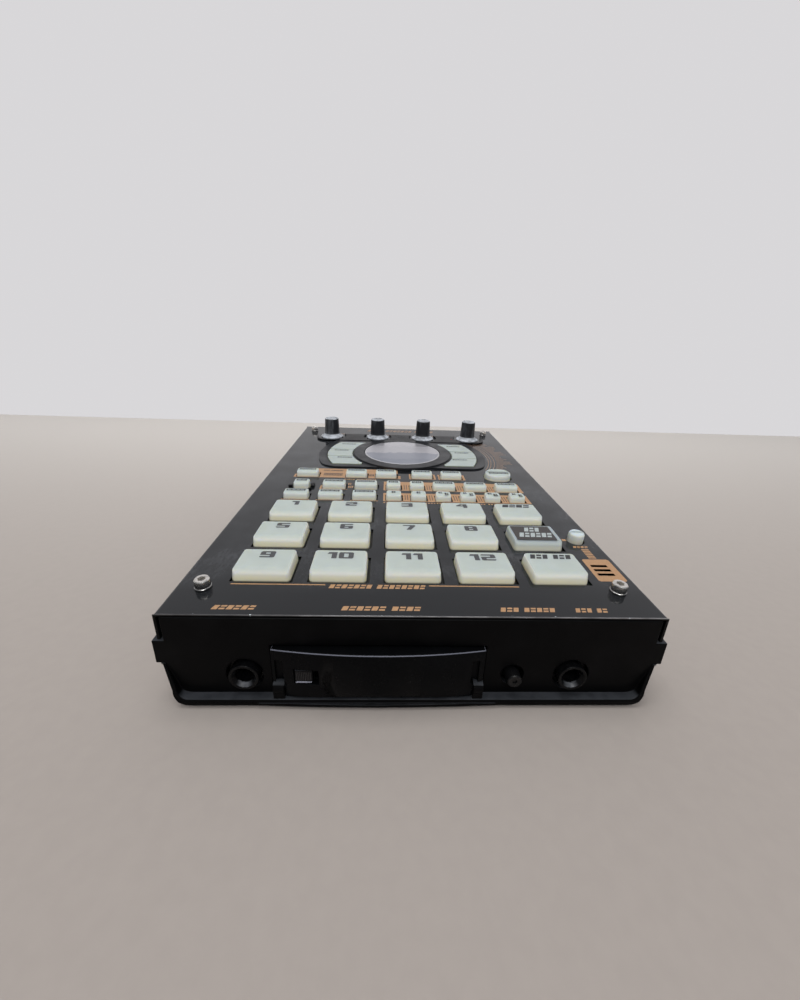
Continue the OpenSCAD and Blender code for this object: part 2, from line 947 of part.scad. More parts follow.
module midi_socket() {
    color("#202022")
        difference() {
            union() {
                block([midi_x - 9.5, 104, main_top], [midi_x + 9.5, rear_face - wall - 0.1, rca_z + 9.5]);
                rod_y(midi_x, rca_z, rear_face - wall - 1, rear_face + 0.4, 7.9);
            }
            difference() {
                rod_y(midi_x, rca_z, rear_face - 6, rear_edge, 6.9);
                rod_y(midi_x, rca_z, rear_face - 7, rear_edge, 6.1);
            }
            for (k = [-2:2])
                rod_y(midi_x + 5 * sin(45 * k), rca_z - 5 * cos(45 * k), rear_face - 7, rear_edge, 0.7);
        }
}

module dc_inlet() {
    color("#202022")
        difference() {
            union() {
                block([dc_x - 4.6, 106, main_top], [dc_x + 4.6, rear_face - wall - 0.1, rca_z + 1.2]);
                rod_y(dc_x, rca_z - 4, rear_face - wall - 1, rear_face + 0.3, 4.4);
            }
            difference() {
                rod_y(dc_x, rca_z - 4, 109, rear_edge, 2.8);
                rod_y(dc_x, rca_z - 4, 108, rear_face - 0.8, 1.05);
            }
        }
}

module switch_housing() {
    color("#1a1a1c")
        difference() {
            union() {
                block([rocker_x - 8, rear_face + 0.05, rocker_z - 11],
                    [rocker_x + 8, rear_face + 1.4, rocker_z + 11]);
                block([rocker_x - 6.5, 104, rocker_z - 9.5],
                    [rocker_x + 6.5, rear_face + 0.5, rocker_z + 9.5]);
            }
            block([rocker_x - 5, rear_face - 8, rocker_z - 8.2], [rocker_x + 5, rear_edge, rocker_z + 8.2]);
            rod_x(rear_face - 2, rocker_z, rocker_x - 6, rocker_x + 6, 1.1);
        }
}

// Rocker, drawn in its off position: its lower half stands proud
module power_rocker() {
    color("#101012")
        translate([rocker_x, rear_face - 2, rocker_z]) {
            rotate([-10, 0, 0])
                intersection() {
                    rod_x(-11.3, 0, -4.6, 4.6, 15.4);
                    block([-4.6, -2.5, -7.2], [4.6, 10, 7.2]);
                }
            rod_x(0, 0, -5.8, 5.8, 1.05);
        }
}

module card_socket() {
    x0 = door_x - card_slot[0] / 2;
    x1 = door_x + card_slot[0] / 2;
    color("#9a9da0")
        difference() {
            block([x0 - 2, pocket_back + 2.1, card_z - 1.5], [x1 + 9, card_back, main_bottom]);
            block([x0, pocket_back, card_z], [x1, card_back - 4, card_z + card_slot[1]]);
            // Channel of the eject button
            block([eject_x - 1.8, pocket_back, card_z - 0.3], [eject_x + 1.8, card_back - 4, card_z + 4.3]);
        }
}

module eject_button() {
    color("#d0d0cc")
        block([eject_x - 1.4, pocket_back - 3, card_z + 0.4], [eject_x + 1.4, -90, card_z + 3.6]);
}

module mic_capsule() {
    color("#b9b9b4")
        on_panel()
            translate([mic_x, mic_y, board_top])
                cylinder(h = -board_top - sheet - 1, r = 3.2);
}

// Plan of the card door: flat back, bulged front
module door_plan(inset) {
    half = door_width / 2;
    bow = (half * half + door_bulge * door_bulge) / (2 * door_bulge);
    intersection() {
        translate([door_x, door_front + bow])
            circle(bow - inset, $fn = 720);
        translate([door_x - half + inset, door_front])
            square([2 * (half - inset), door_back - door_front]);
    }
}

module card_door() {
    color("#1c1d22")
        difference() {
            union() {
                difference() {
                    translate([0, 0, door_low])
                        linear_extrude(door_high - door_low)
                            door_plan(0);
                    // Hollow back
                    translate([0, 0, door_low + 5.6])
                        linear_extrude(door_high - door_low - 5.6 - door_shell)
                            intersection() {
                                door_plan(door_shell);
                                translate([door_x - door_width / 2 + 5, door_front])
                                    square([door_width - 10, far]);
                            }
                    block([door_x - 30, hinge_y + 1.2, door_low + 2.2],
                        [door_x + 30, door_back + 1, door_low + 8]);
                    // Foot of the front, round about the hinge axis
                    difference() {
                        block([-far, -far, -far], [far, hinge_y, hinge_z]);
                        rod_x(hinge_y, hinge_z, -far / 2, far / 2, door_sweep);
                    }
                    for (x = lug_x) {
                        rod_x(hinge_y, hinge_z, x[0] - 0.4, x[1] + 0.4, lug_radius + 0.4);
                        block([x[0] - 0.4, -far, -far], [x[1] + 0.4, far, hinge_z]);
                    }
                }
                // Pins that turn in the lugs
                rod_x(hinge_y, hinge_z, lug_x[0][0] + 0.6, lug_x[0][1] + 1, hinge_pin);
                rod_x(hinge_y, hinge_z, lug_x[1][0] - 1, lug_x[1][1] - 0.6, hinge_pin);
            }
            // Window and guide of the latch, two narrow slots
            block([window[0], -far, window[2]], [window[1], hinge_y + 1.3, window[3]]);
            block([bolt_end - 1, -125.9, 11], [-33.3, door_back + 1, 16.6]);
            for (x = slot_x)
                block([x[0], -far, slot_z[0]], [x[1], -126, slot_z[1]]);
        }
}

// Latch: thumb tab in the door's window, slide behind it, bolt to the left
module door_latch() {
    color("#141416") {
        block([window[0] + 0.4, -128.2, 11.1], [window[1] - 2.3, -125.2, 16.2]);
        block([-46, -125.6, 11.4], [-35.7, -124.1, 16.2]);
        block([bolt_end, -125.6, 12.4], [-45, -124.1, 15.2]);
    }
}

// Knob with skirt, tapered grip and the shaft that turns in the pot
module knob(i) {
    color("#2b2b2e")
        on_panel()
            translate([knob_x[i], knob_y, 0])
                rotate_extrude()
                    polygon([
                        [0, -6.4], [shaft_radius, -6.4], [shaft_radius, skirt_bottom],
                        [skirt_radius, skirt_bottom], [skirt_radius, skirt_bottom + 1],
                        [grip_radius + 0.5, skirt_bottom + 3], [grip_radius, skirt_bottom + 3.5],
                        [grip_radius - 0.6, knob_height - 0.8], [grip_radius - 1.2, knob_height],
                        [0, knob_height]
                    ]);
}

module mic_level_knob() {
    color("#141416") {
        rod_y(level_x, level_z, level_front, front_face + 4, level_radius);
        rod_y(level_x, level_z, front_face + 3, -113, 1.5);
    }
}

top_cover();
lower_case();
rubber_feet();
corner_screws();
battery_cover();
battery_contacts();
key_guard();
display_bezel();
display_lens();
lcd_module();
knob_strip();
key_sheet();
panel_board();
main_board();
rotary_pots();
front_jacks();
rca_jacks();
midi_socket();
dc_inlet();
switch_housing();
power_rocker();
card_socket();
eject_button();
mic_capsule();
card_door();
door_latch();
knob(0);  // knob_1
knob(1);  // knob_2
knob(2);  // knob_3
knob(3);  // knob_4
mic_level_knob();
pad(0, 2);  // pad_1
pad(1, 2);  // pad_2
pad(2, 2);  // pad_3
pad(3, 2);  // pad_4
pad(0, 1);  // pad_5
pad(1, 1);  // pad_6
pad(2, 1);  // pad_7
pad(3, 1);  // pad_8
pad(0, 0);  // pad_9
pad(1, 0);  // pad_10
pad(2, 0);  // pad_11
pad(3, 0);  // pad_12
pad(4, 2);  // pad_side_far
pad(4, 1);  // pad_side_mid
pad(4, 0);  // pad_side_near
fan_key(-1, 0);  // fan_left_near
fan_key(-1, 1);  // fan_left_mid
fan_key(-1, 2);  // fan_left_far
fan_key(1, 0);  // fan_right_near
fan_key(1, 1);  // fan_right_mid
fan_key(1, 2);  // fan_right_far
oval_key();
round_key();
key_group(row_1_left);  // row_1_left_keys
key_group(row_1_right);  // row_1_right_keys
key_group(row_2_left);  // row_2_left_keys
key_group(row_2_right);  // row_2_right_keys
key_group(row_3_left);  // row_3_left_keys
key_group(row_3_right);  // row_3_right_keys
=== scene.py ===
import json
import math
import random
from collections import namedtuple

import bmesh
import bpy
from mathutils import Matrix, Vector

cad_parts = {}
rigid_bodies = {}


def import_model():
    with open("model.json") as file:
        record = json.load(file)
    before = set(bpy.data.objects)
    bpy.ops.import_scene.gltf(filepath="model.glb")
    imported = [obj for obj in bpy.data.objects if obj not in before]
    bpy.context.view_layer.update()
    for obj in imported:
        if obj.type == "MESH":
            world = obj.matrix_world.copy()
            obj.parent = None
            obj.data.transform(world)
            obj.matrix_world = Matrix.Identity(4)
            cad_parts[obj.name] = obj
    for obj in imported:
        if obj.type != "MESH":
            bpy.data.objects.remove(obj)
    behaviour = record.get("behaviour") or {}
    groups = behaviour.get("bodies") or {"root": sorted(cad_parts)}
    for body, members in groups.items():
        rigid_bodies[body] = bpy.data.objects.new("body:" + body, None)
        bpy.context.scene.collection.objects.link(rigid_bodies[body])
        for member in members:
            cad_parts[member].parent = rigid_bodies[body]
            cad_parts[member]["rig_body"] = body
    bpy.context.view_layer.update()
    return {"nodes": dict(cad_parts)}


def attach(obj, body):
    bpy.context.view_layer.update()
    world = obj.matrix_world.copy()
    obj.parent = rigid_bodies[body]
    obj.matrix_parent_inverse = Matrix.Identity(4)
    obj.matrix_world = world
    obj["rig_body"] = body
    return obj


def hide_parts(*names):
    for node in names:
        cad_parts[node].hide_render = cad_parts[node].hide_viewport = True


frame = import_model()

MM = 0.001

# The cover's frame: X right, Y up the slope from the front edge, Z out of the cover
SLOPE = math.radians(5)
COVER = Matrix.Translation((0, -125 * MM, 36.5 * MM)) @ Matrix.Rotation(SLOPE, 4, "X")
WORLD = Matrix.Identity(4)

# CAD points closer than WELD mm are made one; edges sharper than SHARP degrees are rounded
WELD = 0.002
SHARP = 32

# Gaps round the keys in their holes and the keys' flange under the cover
GAP_LEFT = 0.35
GAP_Y = 0.5
LAP = 0.3
FLANGE_TOP = -1.4
FLANGE_BOTTOM = -2.6

# Thickness of a print on the surface that carries it
INK = 0.03

# Numerals: height, full width, thickness of their upright and level strokes, flag of the 1,
# cut corner, gap between two numerals, margin to the pad's far edge
DIGIT_HEIGHT = 4.4
DIGIT_WIDTH = 5.9
UPRIGHT = 2.05
LEVEL = 0.85
FLAG = 1.85
CORNER = 0.5
DIGIT_GAP = 0.8
DIGIT_MARGIN = 2.4

# Heights in the world's frame: a highlight is painted along the card door's edge above EDGE_Z, pale dust,
# partly painted light, lies on level faces below DUST_Z, the jacks' axes are at JACK_Z. JACK_Y is the
# jacks' front
EDGE_Z = 23.2
DUST_Z = 28
JACK_Z = 12
JACK_Y = -127.3

# Display, seen from above the cover
DISPLAY_X = 0.4
DISPLAY_Y = 176
RING_Y = 177
LENS_RADIUS = 28.4

# Lamp in the strip, in the cover's frame; phono jacks in the back, in the world's
LAMP_PLACE = (44.4, 219)
PHONO_X = (-64, -48, -32, -16)
PHONO_Z = 31
PHONO_Y = 129.3

# Forms of the silicone keys in mm: radius and inset of the top edges, at the sides and in front,
# inset of the foot in front, corner radius (None is a round end), gap to the hole's right edge
CapForm = namedtuple("CapForm", "edge near_edge draft near_draft near_foot corner gap_right")
PAD_FORM = CapForm(1.0, 3.1, 0.35, 0.85, 0.4, 1.7, 1.05)
SMALL_FORM = CapForm(0.9, 2.2, 0.3, 0.5, 0.15, 1.3, 0.85)
OVAL_FORM = CapForm(1.2, 2.0, 0.3, 0.4, 0.1, None, 0.85)
ROUND_FORM = CapForm(1.2, 1.3, 0.1, 0.5, 0.5, None, 0.35)

PADS = [f"pad_{k}" for k in range(1, 13)]
SIDE_PADS = ["pad_side_far", "pad_side_mid", "pad_side_near"]
FANS = [f"fan_{side}_{row}" for side in ("left", "right") for row in ("near", "mid", "far")]
ROWS = [f"row_{n}_{side}_keys" for n in (1, 2, 3) for side in ("left", "right")]
KNOBS = [f"knob_{k}" for k in (1, 2, 3, 4)]


# Shader helpers

def new_material(name):
    """A node material; returns it with its tree and its Principled shader."""
    made = bpy.data.materials.new(name)
    made.use_nodes = True
    return made, made.node_tree, made.node_tree.nodes["Principled BSDF"]


def put(socket, value):
    """Links an input to another node's socket, or gives it a value of its own."""
    if isinstance(value, bpy.types.NodeSocket):
        socket.id_data.links.new(value, socket)
    elif socket.type == "RGBA":
        socket.default_value = (*value, 1)
    else:
        socket.default_value = value


def set_sockets(node, **values):
    """Sets or links inputs of a node by name; a name has _ for a space."""
    for name, value in values.items():
        put(node.inputs[name.replace("_", " ")], value)


def new_node(tree, kind, **values):
    """A shader node with its inputs set or linked."""
    node = tree.nodes.new(f"ShaderNode{kind}")
    set_sockets(node, **values)
    return node


def combine(tree, operation, first, second, kind="Math", output="Value"):
    """Joins two sockets or values with a math node."""
    node = new_node(tree, kind)
    node.operation = operation
    put(node.inputs[0], first)
    put(node.inputs[1], second)
    return node.outputs[output]


def product(tree, first, *others):
    """Multiplies factors."""
    for other in others:
        first = combine(tree, "MULTIPLY", first, other)
    return first


def coordinates(tree):
    """Object coordinates, in metres."""
    return new_node(tree, "TexCoord").outputs["Object"]


def axis_mm(tree, axis):
    """One object coordinate, in mm."""
    split = new_node(tree, "SeparateXYZ", Vector=coordinates(tree))
    return combine(tree, "MULTIPLY", split.outputs[axis], 1 / MM)


def distance_mm(tree, centre):
    """Distance in mm from an upright axis through a centre (x, y)."""
    flat = combine(tree, "MULTIPLY", coordinates(tree), (1 / MM, 1 / MM, 0), "VectorMath", "Vector")
    return combine(tree, "DISTANCE", flat, (*centre, 0), "VectorMath")


def upward(tree):
    """How far the surface faces up in its own frame, from -1 to 1."""
    normal = new_node(tree, "TexCoord").outputs["Normal"]
    return new_node(tree, "SeparateXYZ", Vector=normal).outputs["Z"]


def ramp(tree, factor, low, high, low_out=0.0, high_out=1.0):
    """Maps a factor smoothly from low..high to low_out..high_out."""
    node = new_node(tree, "MapRange", Value=factor, From_Min=low, From_Max=high,
                    To_Min=low_out, To_Max=high_out)
    node.interpolation_type = "SMOOTHSTEP"
    return node.outputs["Result"]


def noise(tree, size, detail, stretch=(1, 1, 1), shift=0.0):
    """Noise whose patches are about size mm across."""
    place = new_node(tree, "Mapping", Vector=coordinates(tree), Scale=stretch,
                     Location=(shift, shift * 0.7, shift * 0.3))
    node = new_node(tree, "TexNoise", Vector=place.outputs["Vector"], Scale=1 / (size * MM), Detail=detail)
    return node.outputs["Fac"]


def mottle(tree, size, detail, low, high, low_out=0.0, high_out=1.0, stretch=(1, 1, 1), shift=0.0):
    """Noise with more contrast: low..high of it becomes low_out..high_out."""
    return ramp(tree, noise(tree, size, detail, stretch, shift), low, high, low_out, high_out)


def mix(tree, factor, first, second):
    """Mixes two colours, each a tuple or a socket."""
    node = new_node(tree, "Mix")
    node.data_type = "RGBA"
    for index, value in ((0, factor), (6, first), (7, second)):
        put(node.inputs[index], value)
    return node.outputs[2]


def add_bump(tree, shader, size, detail, depth, strength):
    """Bump from noise, its size and depth in mm."""
    bump = new_node(tree, "Bump", Height=noise(tree, size, detail), Distance=depth * MM, Strength=strength)
    set_sockets(shader, Normal=bump.outputs["Normal"])


# Materials

def painted_steel():
    """Dark charcoal paint: smudged gloss, dust, painted shade on faces that don't face up, and a bright
    line along the front edge that is a painted highlight on partly worn paint.
    """
    made, tree, shader = new_material("painted_steel")
    along = axis_mm(tree, "Y")
    height = axis_mm(tree, "Z")
    level = ramp(tree, upward(tree), 0.3, 0.8)
    smudge = mottle(tree, 24, 4, 0.38, 0.72)
    streaks = mottle(tree, 1.5, 4, 0.3, 0.8, 0.3, 1, (1, 0.45, 1))
    fingers = product(tree, smudge, streaks, ramp(tree, along, 10, 24))
    dusty = mix(tree, fingers, (0.010, 0.011, 0.013), (0.054, 0.057, 0.063))
    # Faces that don't face up are painted near black as painted shade; the specular tint below dims their
    # reflections the same way
    color = mix(tree, level, (0.001, 0.001, 0.0012), dusty)
    # Bright line painted along the front edge as its highlight on partly worn paint, paler at the left,
    # with a few chips
    patchy = product(tree, mottle(tree, 9, 5, 0.34, 0.6, 0.55, 1, shift=3),
                     ramp(tree, axis_mm(tree, "X"), -66, -30, 0.4, 1))
    line = product(tree, ramp(tree, along, 0.12, 0.22, 1, 0), ramp(tree, height, -0.42, -0.34), patchy)
    chips = product(tree, ramp(tree, along, 0.3, 0.75, 1, 0), mottle(tree, 2.2, 3, 0.67, 0.71, shift=9),
                    ramp(tree, height, -0.5, -0.4))
    edge_highlight = mix(tree, line, color, (0.26, 0.255, 0.26))
    set_sockets(
        shader, Base_Color=mix(tree, chips, edge_highlight, (0.60, 0.64, 0.68)),
        Specular_Tint=mix(tree, level, (0.05, 0.05, 0.05), (1.0, 1.0, 1.0)),
        Roughness=mottle(tree, 18, 4, 0.3, 0.75, 0.05, 0.13, shift=7), Specular_IOR_Level=0.36)
    add_bump(tree, shader, 1.6, 2, 0.003, 0.4)
    return made


def moulded_plastic(name, color, light, roughness, grain, specular, depth, dust=None, edge=None):
    """Moulded plastic: light is on worn spots, dust on upward faces is partly painted light, edge is a
    painted highlight on rounded top edges.
    """
    made, tree, shader = new_material(name)
    surface = mix(tree, mottle(tree, 14, 4, 0.42, 0.75), color, light)
    # Pale dust on upward faces below DUST_Z, partly real dust and partly painted light for the light they
    # catch
    if dust:
        lying = product(
            tree, ramp(tree, upward(tree), 0.55, 0.9), mottle(tree, 5, 4, 0.25, 0.6, 0.65, 1, shift=6),
            ramp(tree, axis_mm(tree, "Z"), DUST_Z - 2, DUST_Z, 1, 0))
        surface = mix(tree, lying, surface, dust)
    # Painted highlight along the rounded top edges above EDGE_Z
    if edge:
        edge_highlight = product(
            tree, ramp(tree, upward(tree), 0.4, 0.55), ramp(tree, upward(tree), 0.84, 0.93, 1, 0),
            ramp(tree, axis_mm(tree, "Z"), EDGE_Z - 0.05, EDGE_Z + 0.05))
        surface = mix(tree, edge_highlight, surface, edge)
    set_sockets(
        shader, Base_Color=surface, Specular_IOR_Level=specular,
        Roughness=mottle(tree, 9, 3, 0.3, 0.7, roughness - 0.06, roughness + 0.08, shift=2))
    add_bump(tree, shader, grain, 2, depth, 0.6)
    return made


def silicone(name, height, top, side, low, dark=(0.02, 0.02, 0.018)):
    """Milky silicone for keys of a height in mm: the sides take colours painted for how light glows in
    them, cream towards the foot is partly yellowed silicone and partly painted glow, and the part under the
    cover is painted in shade.
    """
    made, tree, shader = new_material(name)
    place = axis_mm(tree, "Z")
    cream = ramp(tree, place, 0.05 * height, 0.62 * height, 1, 0)
    pale = mix(tree, mottle(tree, 6, 3, 0.3, 0.75), top, tuple(c * 1.05 for c in top))
    # Faces that turn away from up take the side colours, painted for the light glowing through the silicone
    glow = ramp(tree, upward(tree), 0.3, 1.0, 1, 0)
    body = mix(tree, glow, pale, mix(tree, cream, side, low))
    # Painted shade on the flange under the cover
    shade_below_cover = ramp(tree, place, -1.2, -0.1, 1, 0)
    set_sockets(
        shader, Base_Color=mix(tree, shade_below_cover, body, dark), Specular_IOR_Level=0.28,
        Roughness=mottle(tree, 5, 3, 0.3, 0.7, 0.42, 0.56, shift=5),
        Subsurface_Weight=0.6, Subsurface_Radius=(3.5, 3.2, 2.2), Subsurface_Scale=1.0 * MM)
    add_bump(tree, shader, 0.8, 2, 0.005, 0.4)
    return made


def jack_plastic():
    """Glossy black with a painted highlight on the lower inside of a jack's mouth."""
    made, tree, shader = new_material("jack_nose")
    # Painted highlight on the up-facing lower inside of each jack's mouth
    mouth_highlight = product(
        tree, ramp(tree, axis_mm(tree, "Z"), JACK_Z - 2.3, JACK_Z - 1.7, 1, 0),
        ramp(tree, axis_mm(tree, "Y"), JACK_Y + 1.2, JACK_Y + 1.9, 1, 0),
        ramp(tree, upward(tree), 0.5, 0.9))
    spots = mottle(tree, 2, 3, 0.35, 0.65)
    dark = mix(tree, spots, (0.002, 0.002, 0.0025), (0.004, 0.004, 0.0045))
    pale = mix(tree, spots, (0.09, 0.095, 0.105), (0.16, 0.165, 0.18))
    set_sockets(shader, Base_Color=mix(tree, mouth_highlight, dark, pale), Specular_IOR_Level=0.12,
                Roughness=mottle(tree, 3, 3, 0.3, 0.7, 0.2, 0.35))
    return made


def print_ink(name, color, worn, metallic=0.0, roughness=0.45):
    """Screen print with a faint mottle."""
    made, tree, shader = new_material(name)
    mottled = mottle(tree, 0.7, 4, 0.45, 0.7)
    set_sockets(shader, Base_Color=mix(tree, mottled, color, worn), Metallic=metallic, Roughness=roughness)
    return made


def plated_metal(name, color, roughness, shaded=None):
    """Plated metal with faint turning marks and tarnish; shaded is the colour of a screw's lower head."""
    made, tree, shader = new_material(name)
    tarnish = mottle(tree, 2.5, 4, 0.45, 0.8)
    surface = mix(tree, tarnish, color, tuple(c * 0.62 for c in color))
    if shaded:
        surface = mix(tree, ramp(tree, axis_mm(tree, "Z"), 0.6, 3.8), shaded, surface)
    set_sockets(
        shader, Base_Color=surface, Metallic=1.0,
        Roughness=mottle(tree, 1.2, 3, 0.3, 0.7, roughness, roughness + 0.18, (1, 1, 14)))
    return made


def knob_rubber(name, least, most):
    """Dark rubber grip with dusty smears between two amounts; the skirt and the top are pale."""
    made, tree, shader = new_material(name)
    height = axis_mm(tree, "Z")
    skirt = ramp(tree, height, 3.4, 3.9, 1, 0)
    top = ramp(tree, height, 15.75, 16.4)
    cloudy = mottle(tree, 4, 4, 0.3, 0.65, 0.4, 1)
    ends = product(tree, combine(tree, "MAXIMUM", skirt, top), cloudy)
    smears = mottle(tree, 4.5, 4, 0.48, 0.72, least, most, (1, 1, 0.3), 4)
    dust = combine(tree, "MAXIMUM", ends, smears)
    set_sockets(shader, Base_Color=mix(tree, dust, (0.010, 0.011, 0.014), (0.60, 0.63, 0.68)),
                Roughness=0.5, Specular_IOR_Level=0.35)
    add_bump(tree, shader, 0.6, 3, 0.012, 0.4)
    return made


def lens_glass():
    """Polished window, half a mirror, with painted reflections in three silvery bands and a painted
    highlight on its pale rim; the far end shines.
    """
    made, tree, shader = new_material("lens")
    # Painted reflections: silvery bands along Y, palest on the far half
    edge = combine(tree, "ADD", axis_mm(tree, "Y"), mottle(tree, 7, 3, 0.3, 0.7, -1.6, 1.6))
    along = ramp(tree, edge, RING_Y - 17.5, RING_Y - 15.5)
    reflected_bands = mix(tree, along, (0.235, 0.25, 0.30), (0.28, 0.29, 0.34))
    reflected_bands = mix(tree, ramp(tree, edge, RING_Y - 3.5, RING_Y - 1), reflected_bands, (0.47, 0.46, 0.49))
    surface = mix(tree, mottle(tree, 11, 3, 0.35, 0.75, 0, 0.25), reflected_bands, (0.36, 0.36, 0.40))
    # Painted highlight round the lens's rim
    rim = ramp(tree, distance_mm(tree, (DISPLAY_X, RING_Y)), LENS_RADIUS - 1.3, LENS_RADIUS - 0.9)
    set_sockets(
        shader, Base_Color=mix(tree, rim, surface, (0.50, 0.50, 0.52)), Metallic=0.35, IOR=1.5,
        Roughness=ramp(tree, axis_mm(tree, "Y"), RING_Y + 12, RING_Y + 20, 0.42, 0.05),
        Coat_Weight=0.3, Coat_Roughness=0.3)
    return made


def circuit_board():
    """Green solder resist with paler traces and plated pads."""
    made, tree, shader = new_material("board")
    bricks = new_node(
        tree, "TexBrick", Vector=coordinates(tree), Scale=1 / (6 * MM), Mortar_Size=0.05,
        Color1=(0.012, 0.09, 0.045), Color2=(0.016, 0.11, 0.055), Mortar=(0.03, 0.2, 0.1))
    pads = mottle(tree, 2.4, 1, 0.68, 0.7)
    set_sockets(shader, Base_Color=mix(tree, pads, bricks.outputs["Color"], (0.55, 0.5, 0.4)),
                Roughness=0.35)
    return made


def stage_paint(name, near, far, reach, brightness=None):
    """Matt stage surface between two colours along Y; brightness shows it evenly to camera and gloss."""
    made, tree, shader = new_material(name)
    along = ramp(tree, axis_mm(tree, "Y"), *reach)
    darker = mix(tree, along, tuple(c * 0.93 for c in near), far)
    color = mix(tree, mottle(tree, 5, 3, 0.2, 0.8, 0, 0.5), mix(tree, along, near, far), darker)
    set_sockets(shader, Base_Color=color, Roughness=0.9, Specular_IOR_Level=0.1)
    if brightness:
        rays = new_node(tree, "LightPath").outputs
        mirrored = combine(tree, "MAXIMUM", rays["Is Glossy Ray"], rays["Is Transmission Ray"])
        seen = combine(tree, "MAXIMUM", rays["Is Camera Ray"], mirrored)
        glow = new_node(tree, "Emission", Color=color, Strength=brightness)
        blend = new_node(tree, "MixShader")
        for socket, value in zip(blend.inputs, (seen, shader.outputs["BSDF"], glow.outputs["Emission"])):
            put(socket, value)
        set_sockets(tree.nodes["Material Output"], Surface=blend.outputs["Shader"])
    return made


PAINT = painted_steel()

# Plastics: colour, rubbed colour, roughness, size of the grain in mm, specular level, depth in mm
# The case's pale dust on upward faces is partly painted light
CASE = moulded_plastic("case_plastic", (0.0022, 0.0022, 0.0025), (0.0036, 0.0036, 0.004), 0.4, 0.5,
                       0.055, 0.02, dust=(0.040, 0.043, 0.049))
GLOSS = moulded_plastic("gloss_black", (0.008, 0.008, 0.0095), (0.014, 0.014, 0.016), 0.2, 1.2,
                        0.4, 0.004)
STRIP = moulded_plastic("strip_gloss", (0.005, 0.005, 0.006), (0.008, 0.008, 0.01), 0.2, 1.2,
                        0.08, 0.004)
# The door's edge colour is a painted highlight
DOOR = moulded_plastic("door_plastic", (0.0022, 0.0024, 0.0029), (0.0034, 0.0037, 0.0043), 0.28, 0.9,
                       0.055, 0.006, edge=(0.15, 0.155, 0.19))
# The ledge's very pale top on upward faces is painted light, as if it caught the lamp; the latch's faint
# dust is partly painted light too
LATCH, LIT_LEDGE = [
    moulded_plastic(name, (0.0045, 0.0045, 0.005), (0.007, 0.007, 0.008), 0.3, 0.9, 0.12, 0.006, dust=dust)
    for name, dust in (("latch_plastic", (0.02, 0.02, 0.024)), ("ledge_painted_light", (0.30, 0.30, 0.36)))]
NOSE = jack_plastic()
LEVEL_KNOB = moulded_plastic("level_knob", (0.004, 0.004, 0.0045), (0.006, 0.006, 0.007), 0.3, 0.6,
                             0.25, 0.01)
BEZEL = moulded_plastic("bezel_plastic", (0.013, 0.014, 0.017), (0.022, 0.023, 0.027), 0.34, 0.6,
                        0.36, 0.01)
SOCKET = moulded_plastic("socket_plastic", (0.012, 0.012, 0.013), (0.02, 0.02, 0.022), 0.3, 0.8,
                         0.5, 0.01)
RUBBER = moulded_plastic("rubber", (0.02, 0.02, 0.02), (0.035, 0.035, 0.035), 0.75, 0.5, 0.3, 0.03)
PALE = moulded_plastic("pale_plastic", (0.55, 0.55, 0.52), (0.48, 0.47, 0.44), 0.4, 0.7, 0.5, 0.008)
RED_INSERT = moulded_plastic("red_insert", (0.45, 0.03, 0.02), (0.38, 0.03, 0.02), 0.4, 0.8, 0.5, 0.01)
LAMP_RED = moulded_plastic("lamp_lens", (0.10, 0.012, 0.010), (0.16, 0.02, 0.015), 0.2, 1.0, 0.6, 0.004)

# Silicone: height of the key in mm, colour of its top, of its side and of its side near the foot; the side
# colours are painted light and shade for how the sides are lit
KEY = silicone("key_rubber", 4.2, (0.48, 0.53, 0.50), (0.93, 0.93, 0.86), (0.96, 0.89, 0.66))
KEY_BLUE = silicone("key_rubber_blue", 4.2, (0.36, 0.41, 0.43), (0.62, 0.67, 0.65), (0.78, 0.77, 0.64))
KEY_ROUND = silicone("round_key_rubber", 3.6, (0.58, 0.66, 0.69), (0.80, 0.84, 0.80), (0.84, 0.82, 0.68))
KEY_CAP = silicone("small_key_rubber", 2.4, (0.48, 0.54, 0.51), (0.79, 0.83, 0.79), (0.92, 0.88, 0.72))
KEY_FLAT = silicone("fan_key_rubber", 1.5, (0.44, 0.49, 0.47), (0.34, 0.38, 0.32), (0.24, 0.26, 0.2))
DOME = silicone("dome_rubber", 1, *[(0.3, 0.33, 0.3)] * 4)

# Prints: colour, worn colour, how metallic, roughness
GOLD = print_ink("gold_print", (0.50, 0.285, 0.145), (0.40, 0.225, 0.11), 0.25, 0.4)
FAINT_GOLD = print_ink("faint_gold_print", (0.32, 0.20, 0.13), (0.12, 0.08, 0.055), 0.2, 0.35)
INK_DARK = print_ink("key_print", (0.055, 0.055, 0.06), (0.085, 0.085, 0.09))
INK_MARK = print_ink("small_key_print", (0.018, 0.018, 0.02), (0.03, 0.03, 0.034))
INK_SLOT = print_ink("bar_print", (0.035, 0.03, 0.03), (0.06, 0.05, 0.045))
INK_PALE = print_ink("pale_print", (0.45, 0.5, 0.5), (0.36, 0.4, 0.4))
LCD = print_ink("lcd", (0.22, 0.24, 0.24), (0.3, 0.32, 0.32), 0.3, 0.25)

CHROME = plated_metal("screw_steel", (0.80, 0.77, 0.73), 0.10, shaded=(0.38, 0.37, 0.36))
NICKEL = plated_metal("socket_metal", (0.62, 0.60, 0.56), 0.22)
KNOB = knob_rubber("knob_rubber", 0.012, 0.13)
KNOB_DUSTY = knob_rubber("knob_rubber_dusty", 0.012, 0.17)
LENS = lens_glass()
BOARD = circuit_board()


# Mesh helpers, in mm

